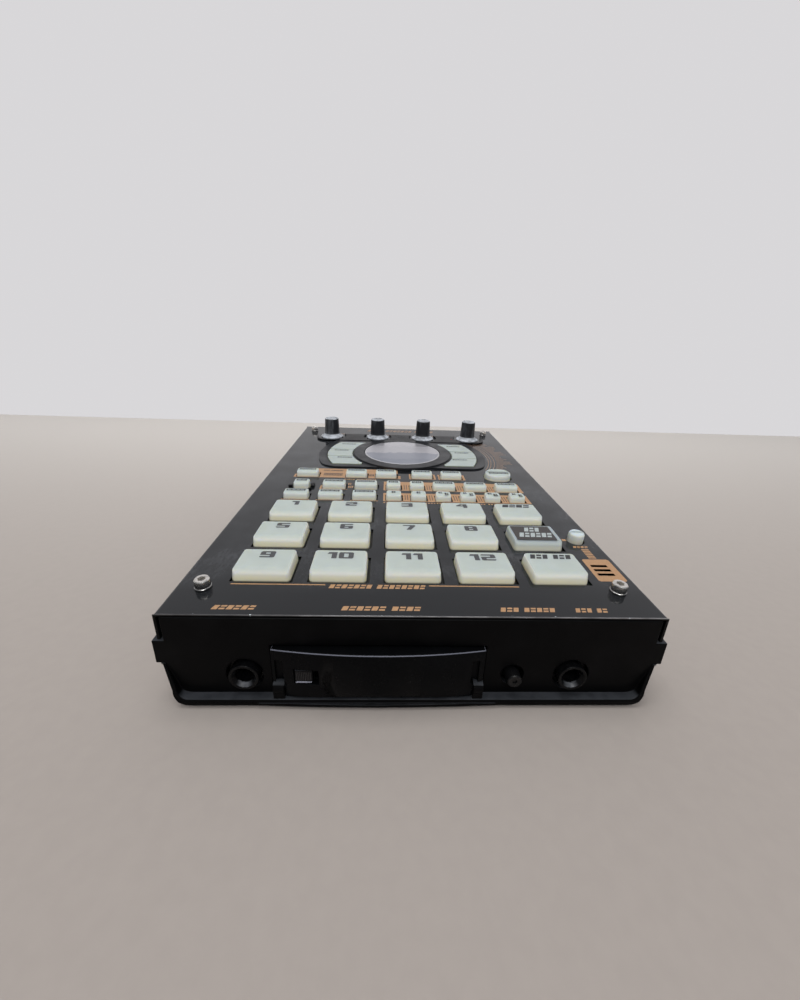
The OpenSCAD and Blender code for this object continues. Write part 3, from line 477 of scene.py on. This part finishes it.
def add_piece(name, work, material, body, place=COVER, nodes=(), smooth=38):
    """Makes a bmesh in mm a piece, smooth up to an angle; it rides on a body and may replace CAD nodes."""
    bmesh.ops.recalc_face_normals(work, faces=work.faces)
    bmesh.ops.scale(work, vec=(MM, MM, MM), verts=work.verts)
    mesh = bpy.data.meshes.new(name)
    work.to_mesh(mesh)
    work.free()
    mesh.shade_smooth()
    mesh.set_sharp_from_angle(angle=math.radians(smooth))
    mesh.materials.append(material)
    made = bpy.data.objects.new(name, mesh)
    bpy.context.scene.collection.objects.link(made)
    made.matrix_world = place
    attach(made, body)
    if nodes:
        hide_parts(*nodes)
    return made


def loft(work, rings, hollow=False):
    """Skins rings of points, all of one length; closes both ends, or joins them when hollow."""
    made = [[work.verts.new(p) for p in ring] for ring in rings]
    count = len(made[0])
    for low, high in zip(made, made[1:] + (made[:1] if hollow else [])):
        for k in range(count):
            after = (k + 1) % count
            work.faces.new((low[k], low[after], high[after], high[k]))
    if not hollow:
        work.faces.new(list(reversed(made[0])))
        work.faces.new(made[-1])


def prism(work, outline, low=0, high=INK):
    """Extrudes an outline of (x, y) points between two heights, by default as a print on the cover."""
    loft(work, [[(x, y, z) for x, y in outline] for z in (low, high)])


def rectangle(x0, x1, y0, y1):
    """Outline of a rectangle."""
    return [(x0, y0), (x1, y0), (x1, y1), (x0, y1)]


def round_rect(x0, x1, y0, y1, corner):
    """Rounded rectangle: points with their outward directions."""
    steps = 7
    points = []
    centres = ((x1 - corner, y1 - corner), (x0 + corner, y1 - corner),
               (x0 + corner, y0 + corner), (x1 - corner, y0 + corner))
    for quarter, (cx, cy) in enumerate(centres):
        for k in range(steps + 1):
            angle = math.radians(90 * (quarter + k / steps))
            nx, ny = math.cos(angle), math.sin(angle)
            points.append((cx + corner * nx, cy + corner * ny, nx, ny))
    return points


def ring_of(count, centre, height, radius_at):
    """Ring of points about a centre; radius_at gives the radius at an angle."""
    ring = []
    for k in range(count):
        angle = 2 * math.pi * k / count
        radius = radius_at(angle)
        ring.append((centre[0] + radius * math.cos(angle), centre[1] + radius * math.sin(angle), height))
    return ring


def turned(profile, count, centre=(0, 0), flutes=0, depth=0.0):
    """Rings about Z of a profile of (radius, height, fluted); flutes are cut where fluted is there."""
    rings = []
    for radius, height, *fluted in profile:
        cut = depth if fluted else 0
        rings.append(ring_of(
            count, centre, height, lambda angle: radius - cut * (0.5 + 0.5 * math.cos(flutes * angle))))
    return rings


def arc_band(work, centre, r0, r1, start, end):
    """Print of a curved strip between two radii and two angles in degrees."""
    steps = 40
    angles = [math.radians(start + (end - start) * k / steps) for k in range(steps + 1)]
    outer = [(centre[0] + r1 * math.cos(a), centre[1] + r1 * math.sin(a)) for a in angles]
    inner = [(centre[0] + r0 * math.cos(a), centre[1] + r0 * math.sin(a)) for a in angles]
    prism(work, outer + inner[::-1])


def welded(node):
    """A bmesh of a CAD node, in metres, whose doubled points are made one."""
    work = bmesh.new()
    work.from_mesh(frame["nodes"][node].data)
    bmesh.ops.remove_doubles(work, verts=work.verts, dist=WELD * MM)
    return work


def solids_of(node, place=COVER):
    """Points, in mm and in the given frame, of each separate solid of a CAD node."""
    whole = welded(node)
    whole.transform(Matrix.Scale(1 / MM, 4) @ place.inverted())
    seen = set()
    parts = []
    for start in whole.verts:
        if start in seen:
            continue
        group = {start}
        front = [start]
        while front:
            for edge in front.pop().link_edges:
                for vert in edge.verts:
                    if vert not in group:
                        group.add(vert)
                        front.append(vert)
        seen |= group
        parts.append([vert.co.copy() for vert in group])
    whole.free()
    return parts


def bounds_of(points):
    """x0, x1, y0, y1, z0, z1 of some points."""
    return [pick(p[axis] for p in points) for axis in range(3) for pick in (min, max)]


def caps_of(node):
    """Boxes x0, x1, y0, y1, top of a node's keys above the cover, from left to right."""
    caps = []
    for points in solids_of(node):
        x0, x1, y0, y1, _, top = bounds_of([p for p in points if p.z > 0.05])
        caps.append((x0, x1, y0, y1, top))
    return sorted(caps)


def weigh(made, rule):
    """Sets how much of the bevel each sharp edge of a piece gets: rule takes its two ends, in mm."""
    weights = made.data.attributes.new("bevel_weight_edge", "FLOAT", "EDGE")
    work = bmesh.new()
    work.from_mesh(made.data)
    for edge, weight in zip(work.edges, weights.data):
        if edge.is_manifold and edge.calc_face_angle() > math.radians(SHARP):
            weight.value = rule(*(vert.co / MM for vert in edge.verts))
    work.free()
    made.modifiers[0].limit_method = "WEIGHT"


def refined(node, material, width, place=WORLD, segments=3):
    """A CAD node's copy with its edges rounded to a width in mm."""
    work = welded(node)
    bmesh.ops.dissolve_limit(
        work, angle_limit=math.radians(0.05), verts=work.verts, edges=work.edges)
    work.transform(Matrix.Scale(1 / MM, 4) @ place.inverted())
    made = add_piece(f"{node}_finish", work, material, frame["nodes"][node]["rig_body"], place,
                     [node], SHARP)
    bevel = made.modifiers.new("Rounded edges", "BEVEL")
    bevel.width = width * MM
    bevel.segments = segments
    bevel.limit_method = "ANGLE"
    bevel.angle_limit = math.radians(SHARP)
    bevel.use_clamp_overlap = False
    bevel.harden_normals = True
    return made


# Keys

def add_cap(work, cap, form, corner):
    """One silicone key: flange under the cover, drafted sides, rounded top edges."""
    x0, x1, y0, y1, top = cap
    hole = (x0 - GAP_LEFT, x1 + form.gap_right, y0 - GAP_Y, y1 + GAP_Y)
    flange = (hole[0] - LAP, hole[1] + LAP, hole[2] - LAP, hole[3] + LAP)
    foot = (x0, x1, y0 + form.near_foot, y1)
    foot_top = 0.2
    rings = []
    for outline, z in ((flange, FLANGE_BOTTOM), (flange, FLANGE_TOP), (foot, FLANGE_TOP), (foot, foot_top)):
        rings.append([(x, y, z) for x, y, _, _ in round_rect(*outline, corner)])
    least = min(corner, 0.9)
    steps = 8
    for k in range(steps + 1):
        angle = math.radians(90 * k / steps)
        inset = form.draft + form.edge * (1 - math.cos(angle))
        near_inset = form.near_draft + form.near_edge * (1 - math.cos(angle))
        side_z = top - form.edge * (1 - math.sin(angle))
        near_z = top - form.near_edge * (1 - math.sin(angle))
        outline = round_rect(
            x0 + inset, x1 - inset, y0 + near_inset, y1 - inset, max(corner - inset, least))
        rings.append([(x, y, side_z + (near_z - side_z) * max(0, -ny)) for x, y, _, ny in outline])
    loft(work, rings)


def add_keys(node, material, form):
    """The silicone keys of a node."""
    work = bmesh.new()
    for cap in caps_of(node):
        size = form.corner or min(cap[1] - cap[0], cap[3] - cap[2]) / 2
        add_cap(work, cap, form, size - 0.001)
    add_piece(f"{node}_cap", work, material, node, nodes=[node], smooth=50)


def pad_top(node):
    """Middle X, far edge and height of a pad's top."""
    x0, x1, _, y1, top = caps_of(node)[0]
    return (x0 + x1) / 2, y1, top


def around(top):
    """Lower and upper face of a print on a key's top."""
    return top - INK, top + INK


def digit_outlines(character):
    """Outlines of a wide numeral in a box DIGIT_WIDTH by DIGIT_HEIGHT."""
    w, h, u, t, c = DIGIT_WIDTH, DIGIT_HEIGHT, UPRIGHT, LEVEL, CORNER
    m0, m1 = (h - t) / 2 - 0.05, (h + t) / 2 - 0.05
    top = [(0, h - t), (w, h - t), (w, h - c), (w - c, h), (c, h), (0, h - c)]
    low = [(0, c), (c, 0), (w - c, 0), (w, c), (w, t), (0, t)]
    mid = rectangle(0, w, m0, m1)
    upper_left = rectangle(0, u, m1, h - t)
    upper_right = rectangle(w - u, w, m1, h - t)
    lower_left = rectangle(0, u, t, m0)
    lower_right = rectangle(w - u, w, t, m0)
    return {
        "0": [top, low, rectangle(0, u, t, h - t), rectangle(w - u, w, t, h - t)],
        "1": [[(0, h - 1.2), (0.5, h), (u + FLAG, h), (u + FLAG, 0), (FLAG, 0), (FLAG, h - 1.2)]],
        "2": [top, upper_right, mid, lower_left, low],
        "3": [top, upper_right, mid, lower_right, low],
        "4": [[(0, m1), (u + 0.3, h), (u + 1.9, h), (u, m1)], mid,
              rectangle(w - u - 0.3, w - 0.3, m1, h), rectangle(w - u - 0.3, w - 0.3, 0, m0)],
        "5": [top, upper_left, mid, lower_right, low],
        "6": [top, upper_left, mid, lower_left, lower_right, low],
        "7": [top, [(1.6, 0), (1.6 + u, 0), (w, h - t), (w - u - 0.4, h - t)]],
        "8": [top, upper_left, upper_right, mid, lower_left, lower_right, low],
        "9": [top, upper_left, upper_right, mid, lower_right, low],
    }[character]


def digit_width(character):
    """Width of a numeral."""
    return UPRIGHT + FLAG if character == "1" else DIGIT_WIDTH


def add_number(node, number):
    """Prints a plain number near the far edge of a pad."""
    middle, far, top = pad_top(node)
    text = str(number)
    total = sum(digit_width(c) for c in text) + DIGIT_GAP * (len(text) - 1)
    x = middle - total / 2
    y = far - DIGIT_MARGIN - DIGIT_HEIGHT
    work = bmesh.new()
    for character in text:
        for outline in digit_outlines(character):
            prism(work, [(x + px, y + py) for px, py in outline], *around(top))
        x += digit_width(character) + DIGIT_GAP
    add_piece(f"{node}_number", work, INK_DARK, node)


def stripes(work, x0, x1, y0, y1, words, level=(0, INK), gap=0.5, lean=0.3, split=True):
    """Groups of leaning bars between two X values where the real part has words; some are split in two."""
    word_gap = 0.7
    step = (x1 - x0) / (sum(words) + (len(words) - 1) * word_gap)
    halves = [(0, 0.38), (0.62, 1)]
    x = x0
    for word in words:
        for k in range(word):
            right = x + step - gap
            for parts in (halves if split and k % 2 else [(0, 1)]):
                (low, left_lean), (high, right_lean) = [
                    (y0 + (y1 - y0) * part, lean * (y1 - y0) * part) for part in parts]
                prism(work, [(x + left_lean, low), (right + left_lean, low),
                             (right + right_lean, high), (x + right_lean, high)], *level)
            x += step
        x += step * word_gap


def add_key_marks(node):
    """Small bars near the far edge of each small key; the short keys have two staggered groups."""
    chance = random.Random(5)
    work = bmesh.new()
    for x0, x1, _, y1, top in caps_of(node):
        middle = (x0 + x1) / 2
        groups = [(x0 + 1.5, x1 - 1.5, y1 - 4, y1 - 1.6)]
        if node == "oval_key":
            groups = [(middle - 6.4, middle + 6.4, y1 - 9.8, y1 - 7.4)]
        elif node == "row_3_right_keys" and x0 > 10:
            step = chance.choice((0.2, 0.6))
            groups = [(x0 + 1.6, middle - step, y1 - 3.8, y1 - 1.7),
                      (middle + step, x1 - 1.6, y1 - 5.6, y1 - 3)]
        elif node == "row_3_right_keys":
            groups = [(middle - 1.2, middle + 1.2, y1 - 4.4, y1 - 2)]
        for left, right, low, high in groups:
            count = max(2, round((right - left) / 1.25))
            stripes(work, left, right, low, high, (count,), around(top), gap=0.25, lean=0)
    add_piece(f"{node}_marks", work, INK_MARK, node)


def add_side_marks():
    """Generic bars on the three pads of the right column; the middle one has a dark label."""
    for node, left, right, words in (("pad_side_far", 7.4, 7.4, (4,)), ("pad_side_near", 9.2, 8.2, (3, 3))):
        middle, far, top = pad_top(node)
        work = bmesh.new()
        stripes(work, middle - left, middle + right, far - 5, far - 1.9, words, around(top), gap=0.6)
        add_piece(f"{node}_marks", work, INK_MARK, node)
    middle, far, top = pad_top("pad_side_mid")
    work = bmesh.new()
    label = round_rect(middle - 9.7, middle + 8.5, far - 14, far - 1.6, 0.5)
    prism(work, [(x, y) for x, y, _, _ in label], *around(top))
    add_piece("pad_side_mid_label", work, INK_SLOT, "pad_side_mid")
    work = bmesh.new()
    level = (top, top + 2 * INK)
    stripes(work, middle - 4.2, middle + 3.2, far - 6.6, far - 2.9, (3,), level, gap=0.6)
    stripes(work, middle - 8, middle + 7.4, far - 11.6, far - 7.8, (6,), level, gap=0.6)
    add_piece("pad_side_mid_marks", work, INK_PALE, "pad_side_mid")


def build_keys():
    """Every key with its print."""
    for number, node in enumerate(PADS, 1):
        add_keys(node, KEY, PAD_FORM)
        add_number(node, number)
    for node in SIDE_PADS:
        add_keys(node, KEY_BLUE if node == "pad_side_mid" else KEY, PAD_FORM)
    add_side_marks()
    for node in ROWS:
        add_keys(node, KEY_CAP, SMALL_FORM)
        add_key_marks(node)
    add_keys("oval_key", KEY_CAP, OVAL_FORM)
    add_key_marks("oval_key")
    add_keys("round_key", KEY_ROUND, ROUND_FORM)
    for node in FANS:
        refined(node, KEY_FLAT, 0.45, COVER)


def build_fan_marks():
    """A short bar row on each fan-shaped key."""
    for node in FANS:
        x0, x1, y0, y1, top = caps_of(node)[0]
        middle = (x0 + x1) / 2
        low = (y0 + y1) / 2 + (3.1 if "far" in node else 4.1)
        work = bmesh.new()
        stripes(work, middle - 5.4, middle + 5.4, low, low + 1.7, (6,), around(top), gap=0.3, lean=0)
        add_piece(f"{node}_marks", work, INK_MARK, node)


# Print on the cover

def hole_of(cap):
    """Edges of the hole round a small key."""
    x0, x1, y0, y1, _ = cap
    return x0 - GAP_LEFT, x1 + SMALL_FORM.gap_right, y0 - GAP_Y, y1 + GAP_Y


def key_band(work, caps, left, right, near, far, ends=None):
    """Gold band round a row of keys, left open at their holes; its two ends may stop at a lower Y."""
    holes = [hole_of(cap) for cap in caps]
    y0, y1 = holes[0][2], holes[0][3]
    edges = [left] + [edge for hole in holes for edge in hole[:2]] + [right]
    spans = list(zip(edges[::2], edges[1::2]))
    prism(work, rectangle(left, right, y0 - near, y0))
    for x0, x1 in spans:
        outer = x0 == left or x1 == right
        prism(work, rectangle(x0, x1, y0, ends if ends and outer else y1))
    if ends:
        left, right = spans[0][1], spans[-1][0]
    prism(work, rectangle(left, right, y1, y1 + far))


def build_cover_print():
    """Gold lines, bands and bars on the cover; bars stand where the real part has words."""
    rows = {node: caps_of(node) for node in ROWS}
    first, last = caps_of("pad_9")[0], caps_of("pad_12")[0]
    gold = bmesh.new()
    line_y = first[2] - 2.25
    for x0, x1 in ((first[0] + 0.8, -33.4), (5.4, last[1] + 0.5)):
        prism(gold, rectangle(x0, x1, line_y, line_y + 0.55))
    stripes(gold, -32, 4, line_y - 1.7, line_y + 0.55, (7, 8))
    for x0, x1, words in ((-69.6, -55, (6,)), (-26, 1.4, (6, 4)), (29, 48.6, (3, 5)), (55.6, 67.4, (3, 2))):
        stripes(gold, x0, x1, 2.6, 4.7, words)
    # Row 1: filled block from the first key to the display's keys, outlines round the right pair
    key_band(gold, rows["row_1_left_keys"], -70.2, -2.2, 0.55, 7.8, 130.8)
    key_band(gold, rows["row_1_right_keys"][:1], 3.4, 20.6, 0.55, 0.55)
    key_band(gold, rows["row_1_right_keys"][1:], 22.4, 39.8, 0.55, 0.55)
    # Row 2: a corner round the second key with bars beside and above it, a band right of the middle
    x0, _, y0, _ = hole_of(rows["row_2_left_keys"][1])
    prism(gold, rectangle(-50.8, -34.4, y0 - 0.45, y0))
    prism(gold, rectangle(-50.8, x0, y0, y0 + 5.3))
    stripes(gold, -34.2, -31, 109.6, 112.4, (3,), gap=0.3, lean=0)
    stripes(gold, -34.6, -32.4, 114, 117, (2,), gap=0.4, lean=0)
    stripes(gold, -38, -17.6, 122.4, 123.8, (5, 9))
    key_band(gold, rows["row_2_right_keys"], -12.9, 71.6, 0.5, 5.4)
    key_band(gold, rows["row_3_right_keys"], -12.9, 71.2, 0.7, 2.8)
    # Dotted lines under the third row
    for x0, x1, _, _ in map(hole_of, rows["row_3_left_keys"]):
        stripes(gold, x0 - 0.4, x1 + 0.4, 91.3, 92, (12,), gap=0.25, lean=0, split=False)
    stripes(gold, -12.9, 71, 89.3, 90.3, (12, 14, 9, 16), gap=0.6, split=False)
    add_sound_plate(gold)
    add_piece("cover_print", gold, GOLD, "case")
    add_row_bars(rows)


def add_sound_plate(work):
    """Plate round the three sound slots, its hatched stem and two short bars."""
    left, right, near, far = 73.2, 84.8, 20.5, 36
    slot_left, slot_right, slots_near, slots_far = 74.9, 81.9, 24.2, 31.8
    cut = 0.7
    prism(work, [(left + cut, near), (right - cut, near), (right, near + cut), (right, slots_near),
                 (left, slots_near), (left, near + cut)])
    prism(work, [(left, slots_far), (right, slots_far), (right, far - cut), (right - cut, far),
                 (left + cut, far), (left, far - cut)])
    for x0, x1 in ((left, slot_left), (slot_right, right)):
        prism(work, rectangle(x0, x1, slots_near, slots_far))
    for y in (25.8, 28.8):
        prism(work, rectangle(slot_left, slot_right, y, y + 1.4))
    for k in range(6):
        prism(work, rectangle(76.9, 80.3, far + 0.7 + 1.3 * k, far + 1.6 + 1.3 * k))
    stripes(work, 74, 81, 45.2, 46.8, (4,), gap=0.4)
    prism(work, rectangle(71.6, 73.5, 51.2, 52.8))


def add_row_bars(rows):
    """Dark bars on the gold bands between the keys."""
    dark = bmesh.new()
    level = (INK, 2 * INK)
    for x0, x1, y0, y1, words, lean in (
            (-53.2, -40.3, 137.7, 139.5, (4, 8), 0.3),
            (-52, -39.8, 129.2, 133.4, (14,), 0.1),
            (-22.4, -19.2, 129.2, 132.6, (3,), 0)):
        stripes(dark, x0, x1, y0, y1, words, level, gap=0.25, lean=lean)
    for name in ("row_2_right_keys", "row_3_right_keys"):
        for left, right in zip(rows[name], rows[name][1:]):
            middle = (hole_of(left)[1] + hole_of(right)[0]) / 2
            for x in (middle - 0.9, middle + 0.5):
                prism(dark, rectangle(x, x + 0.4, left[2] + 0.8, left[3] + 1), *level)
    add_piece("cover_bars", dark, INK_SLOT, "case")


def build_faint_print():
    """Thin arcs and rays right of the display, bars by the knobs: a plain dial pattern."""
    work = bmesh.new()
    centre = (DISPLAY_X, DISPLAY_Y)
    for radius in (64.4, 66.2, 68.6):
        arc_band(work, centre, radius, radius + 0.5, -28, 33)
    chance = random.Random(4)
    inner = 70.4
    reach = 84.5
    for k in range(30):
        angle = math.radians(-22 + 1.75 * k)
        outer = min(inner + chance.uniform(4, 12), reach / max(math.cos(angle), 0.1))
        along = Vector((math.cos(angle), math.sin(angle)))
        across = Vector((-along.y, along.x)) * 0.35
        start, end = (Vector(centre) + radius * along for radius in (inner, outer))
        prism(work, [start - across, end - across, end + across, start + across])
    for x in (-47, -8.5, 30.5):
        stripes(work, x - 6, x + 6, 231.2, 233.6, (6,))
    stripes(work, -30, 31, 243.5, 249.5, (4, 7, 5), gap=0.8)
    for x in (DISPLAY_X - 45, DISPLAY_X + 45):
        stripes(work, x - 6, x + 6, 204.8, 206.4, (5,))
    add_piece("dial_print", work, FAINT_GOLD, "case")


# Fasteners, knobs and other turned pieces

def build_screws():
    """Four socket head screws with knurled heads and hexagon recesses."""
    work = bmesh.new()
    count = 144
    for points in solids_of("corner_screws"):
        x0, x1, y0, y1, low, high = bounds_of(points)
        centre = ((x0 + x1) / 2, (y0 + y1) / 2)
        washer = (x1 - x0) / 2
        head = washer - 0.2
        profile = [
            (1.5, low), (1.5, 0), (washer - 0.1, 0), (washer, 0.1), (washer, 0.75),
            (washer - 0.12, 0.88), (head, 0.92, True), (head, high - 0.75, True),
            (head - 0.1, high - 0.55), (head - 0.1, high - 0.35), (head - 0.35, high - 0.04),
            (head - 0.5, high)]
        rings = turned(profile, count, centre, 36, 0.1)
        for flat, height in ((1.37, high), (1.25, high - 0.12), (1.25, high - 1.6)):
            rings.append(ring_of(
                count, centre, height, lambda a: flat / math.cos((a % (math.pi / 3)) - math.pi / 6)))
        loft(work, rings)
    add_piece("corner_screws_finish", work, CHROME, "case", nodes=["corner_screws"],
              smooth=30)


def build_knobs():
    """Control knobs: flared skirt, fluted grip, dished top, and a pale pointer at the rear."""
    for node in KNOBS:
        x0, x1, y0, y1, low, top = bounds_of(solids_of(node)[0])
        x, y = (x0 + x1) / 2, (y0 + y1) / 2
        skirt = (x1 - x0) / 2
        profile = [
            (3, low), (3, 0.3), (skirt - 0.2, 0.3), (skirt, 0.5), (skirt, 1.15), (skirt - 0.12, 1.32),
            (skirt - 0.4, 1.45), (8.3, 1.75), (7.6, 2.2), (7.1, 2.7), (6.8, 3.15), (6.5, 3.55),
            (6.3, 3.85), (6.15, 4.1, True), (6.05, 6, True), (5.9, 10.5, True), (5.72, 14.9, True),
            (5.65, 15.6), (5.45, top - 0.4), (5.1, top - 0.06), (4.8, top), (4.4, top - 0.03),
            (4.0, top - 0.25), (0.2, top - 0.3)]
        work = bmesh.new()
        loft(work, turned(profile, 120, (x, y), 36, 0.1))
        add_piece(f"{node}_finish", work, KNOB_DUSTY if node == "knob_1" else KNOB, node,
                  nodes=[node], smooth=50)
        mark = bmesh.new()
        prism(mark, rectangle(x - 0.3, x + 0.3, y + 0.8, y + 3.9), top - 0.5, top - 0.18)
        add_piece(f"{node}_pointer", mark, PALE, node)


def along_y(x, z, angle):
    """Frame for pieces turned about Y: its Z axis points to the front at 90 degrees, to the back at -90."""
    return Matrix.Translation((x * MM, 0, z * MM)) @ Matrix.Rotation(math.radians(angle), 4, "X")


def build_level_knob():
    """Small fluted level knob in the front, with a small round recess in its end."""
    x0, x1, y0, y1, z0, z1 = bounds_of(solids_of("mic_level_knob", WORLD)[0])
    radius = (x1 - x0) / 2
    front = -y0
    profile = [
        (1.5, -y1), (1.5, front - 6.3), (radius, front - 6.2), (radius, front - 5.8, True),
        (radius - 0.05, front - 0.5, True), (radius - 0.15, front - 0.25), (radius - 0.45, front),
        (radius - 0.8, front - 0.05), (1.1, front - 0.15), (0.9, front - 0.15), (0.85, front - 0.6)]
    work = bmesh.new()
    loft(work, turned(profile, 96, (0, 0), 24, 0.12))
    add_piece("mic_level_knob_finish", work, LEVEL_KNOB, "mic_level_knob",
              along_y((x0 + x1) / 2, (z0 + z1) / 2, 90), ["mic_level_knob"], 40)


def build_display():
    """Bezel with its ring, and the lens with a rounded rim and a low crown."""
    refined("display_bezel", BEZEL, 0.35, COVER)
    x0, x1, y0, y1, low, top = bounds_of(solids_of("display_lens")[0])
    radius = (x1 - x0) / 2
    rim = [(radius - 0.1, low), (radius, low + 0.1), (radius, top - 0.45), (radius - 0.12, top - 0.25),
           (radius - 0.4, top - 0.12)]
    crown = [(radius * s, top - 0.1 * s * s) for s in (0.9, 0.7, 0.5, 0.3, 0.05)]
    work = bmesh.new()
    loft(work, turned(rim + crown, 128, ((x0 + x1) / 2, (y0 + y1) / 2)))
    add_piece("display_lens_finish", work, LENS, "case", nodes=["display_lens"], smooth=60)


def build_strip():
    """Strip under the knobs and its small lamp."""
    refined("knob_strip", STRIP, 0.25, COVER)
    dome = [(1, -0.6), (1, 1.1), (0.85, 1.35), (0.5, 1.55), (0.1, 1.62)]
    work = bmesh.new()
    loft(work, turned(dome, 32, LAMP_PLACE))
    add_piece("strip_lamp", work, LAMP_RED, "case", smooth=60)


def build_cover():
    """Folded cover with a bend radius at its sides and eased hole edges."""
    made = refined("top_cover", PAINT, 1.5, COVER, 4)
    half = max(v.co.x for v in made.data.vertices) / MM
    eased = 0.09

    def rule(a, b):
        # All of the radius along the two sides, a little on the other edges of the upper face
        same_side = a.x * b.x > 0 and min(abs(a.x), abs(b.x)) > half - 0.01
        if same_side and min(a.z, b.z) > -0.01:
            return 1.0
        return eased if max(a.z, b.z) > -0.1 else 0.0

    weigh(made, rule)


def by_the_lugs(a, b):
    """True for an edge of the lower case by the door's lugs, where rounding has no room."""
    left, right, near, far, top = -60, 40, -128.4, -112, 12
    return all(left < p.x < right and near < p.y < far and p.z < top for p in (a, b))


def build_front():
    """Lower case, card door, latch and jacks."""
    case = refined("lower_case", CASE, 0.35)
    weigh(case, lambda a, b: 0.0 if by_the_lugs(a, b) else 1.0)
    door = refined("card_door", DOOR, 0.6, segments=5)
    top = max(v.co.z for v in door.data.vertices) / MM
    back = max(v.co.y for v in door.data.vertices) / MM
    # The door's top edge is rounded fully in front and at its ends, all others less
    weigh(door, lambda a, b: 1.0 if min(a.z, b.z) > top - 0.01 and min(a.y, b.y) < back - 0.01 else 0.3)
    refined("door_latch", LATCH, 0.25)
    refined("front_jacks", NOSE, 0.25)
    refined("key_guard", STRIP, 0.2, COVER)
    build_level_knob()
    build_latch_grip()


def build_latch_grip():
    """Fine upright ribs on the latch's thumb tab and the ledge below them, whose pale top is painted light.
    """
    _, _, y0, _, z0, z1 = bounds_of(solids_of("door_latch", WORLD)[0])
    left, right = -41.3, -35.9
    ribs = bmesh.new()
    count = 9
    for k in range(count):
        x = left + (right - left) * (k + 0.25) / count
        prism(ribs, rectangle(x, x + 0.3, y0 - 0.12, y0 + 0.3), z0 + 0.9, z1 - 0.5)
    add_piece("door_latch_ribs", ribs, GLOSS, "door_latch", WORLD)
    ledge = bmesh.new()
    loft(ledge, [[(x, y0 + 0.3, z0 + 0.1), (x, y0 - 0.35, z0 + 0.1), (x, y0 - 0.45, z0 + 0.2),
                  (x, y0 - 0.35, z0 + 0.36), (x, y0 + 0.3, z0 + 0.5)] for x in (left, right)])
    add_piece("door_latch_ledge", ledge, LIT_LEDGE, "door_latch", WORLD, smooth=60)


def build_rear():
    """Rear sockets with coloured inserts in the phono jacks, and the switch."""
    refined("rca_jacks", NICKEL, 0.2)
    refined("midi_socket", SOCKET, 0.2)
    refined("dc_inlet", SOCKET, 0.2)
    refined("switch_housing", CASE, 0.3)
    refined("power_rocker", GLOSS, 0.3)
    inner, outer = 1.62, 3.35
    front, back = PHONO_Y + 0.3, PHONO_Y
    tube = [(inner, front), (outer, front), (outer, back), (inner, back)]
    for k, x in enumerate(PHONO_X):
        work = bmesh.new()
        loft(work, turned(tube, 48), hollow=True)
        add_piece(f"rca_insert_{k + 1}", work, PALE if k % 2 else RED_INSERT, "case",
                  along_y(x, PHONO_Z, -90))


def build_underside():
    """Battery cover and feet."""
    refined("battery_cover", CASE, 0.2)
    refined("rubber_feet", RUBBER, 0.4)


def dress_inside():
    """Materials of the pieces inside the case, which keep their CAD solids."""
    for node, material in {
            "panel_board": BOARD, "main_board": BOARD, "battery_contacts": NICKEL,
            "card_socket": NICKEL, "mic_capsule": NICKEL, "key_sheet": DOME, "lcd_module": LCD,
            "rotary_pots": SOCKET, "eject_button": PALE}.items():
        mesh = frame["nodes"][node].data
        mesh.materials.clear()
        mesh.materials.append(material)


# Stage

def build_stage():
    """Pale floor, painted darker towards the camera as painted shade, and plain pale wall."""
    side, wall_y, lap = 3, 0.55, 0.01
    floor = [(-side, -side, 0), (side, -side, 0), (side, wall_y + lap, 0), (-side, wall_y + lap, 0)]
    wall = [(-side, wall_y, -lap), (side, wall_y, -lap), (side, wall_y, side), (-side, wall_y, side)]
    for name, outline, material in (
            # The floor is painted darker near the camera and paler far off, as painted shade
            ("floor", floor, stage_paint("floor", (0.40, 0.355, 0.325), (0.70, 0.66, 0.62), (-230, 520))),
            ("wall", wall, stage_paint("wall", (0.69, 0.68, 0.695), (0.69, 0.68, 0.695), (0, 1), 1.0))):
        mesh = bpy.data.meshes.new(name)
        mesh.from_pydata(outline, [], [(0, 1, 2, 3)])
        mesh.materials.append(material)
        made = bpy.data.objects.new(name, mesh)
        bpy.context.scene.collection.objects.link(made)


def build_lights():
    """Even world light, a soft lamp overhead and a smaller one behind the camera."""
    world = bpy.data.worlds.new("world")
    world.use_nodes = True
    set_sockets(world.node_tree.nodes["Background"], Color=(0.93, 0.96, 1.0), Strength=0.34)
    bpy.context.scene.world = world
    for name, place, size, energy in (("ceiling", (-0.2, 0.1, 2.1), (1.7, 1.2), 25),
                                      ("window", (0.2, -1.4, 1.75), (1.0, 0.6), 15)):
        lamp = bpy.data.lights.new(name, "AREA")
        lamp.shape = "RECTANGLE"
        lamp.size, lamp.size_y = size
        lamp.energy = energy
        made = bpy.data.objects.new(name, lamp)
        made.location = place
        made.rotation_euler = (-Vector(place)).to_track_quat("-Z", "Y").to_euler()
        bpy.context.scene.collection.objects.link(made)


def build_camera():
    """Camera at the photograph's place and angle."""
    data = bpy.data.cameras.new("camera")
    data.lens = 13.489
    data.sensor_width = 36
    data.clip_start = 0.01
    made = bpy.data.objects.new("camera", data)
    made.location = (-11.58 * MM, -230.25 * MM, 115.6 * MM)
    made.rotation_euler = [math.radians(a) for a in (70.319, -1.828, -1.688)]
    bpy.context.scene.collection.objects.link(made)
    bpy.context.scene.camera = made
    bpy.context.scene.view_settings.view_transform = "Standard"


build_stage()
build_lights()
build_camera()
build_cover()
build_front()
build_keys()
build_fan_marks()
build_cover_print()
build_faint_print()
build_screws()
build_knobs()
build_display()
build_strip()
build_rear()
build_underside()
dress_inside()
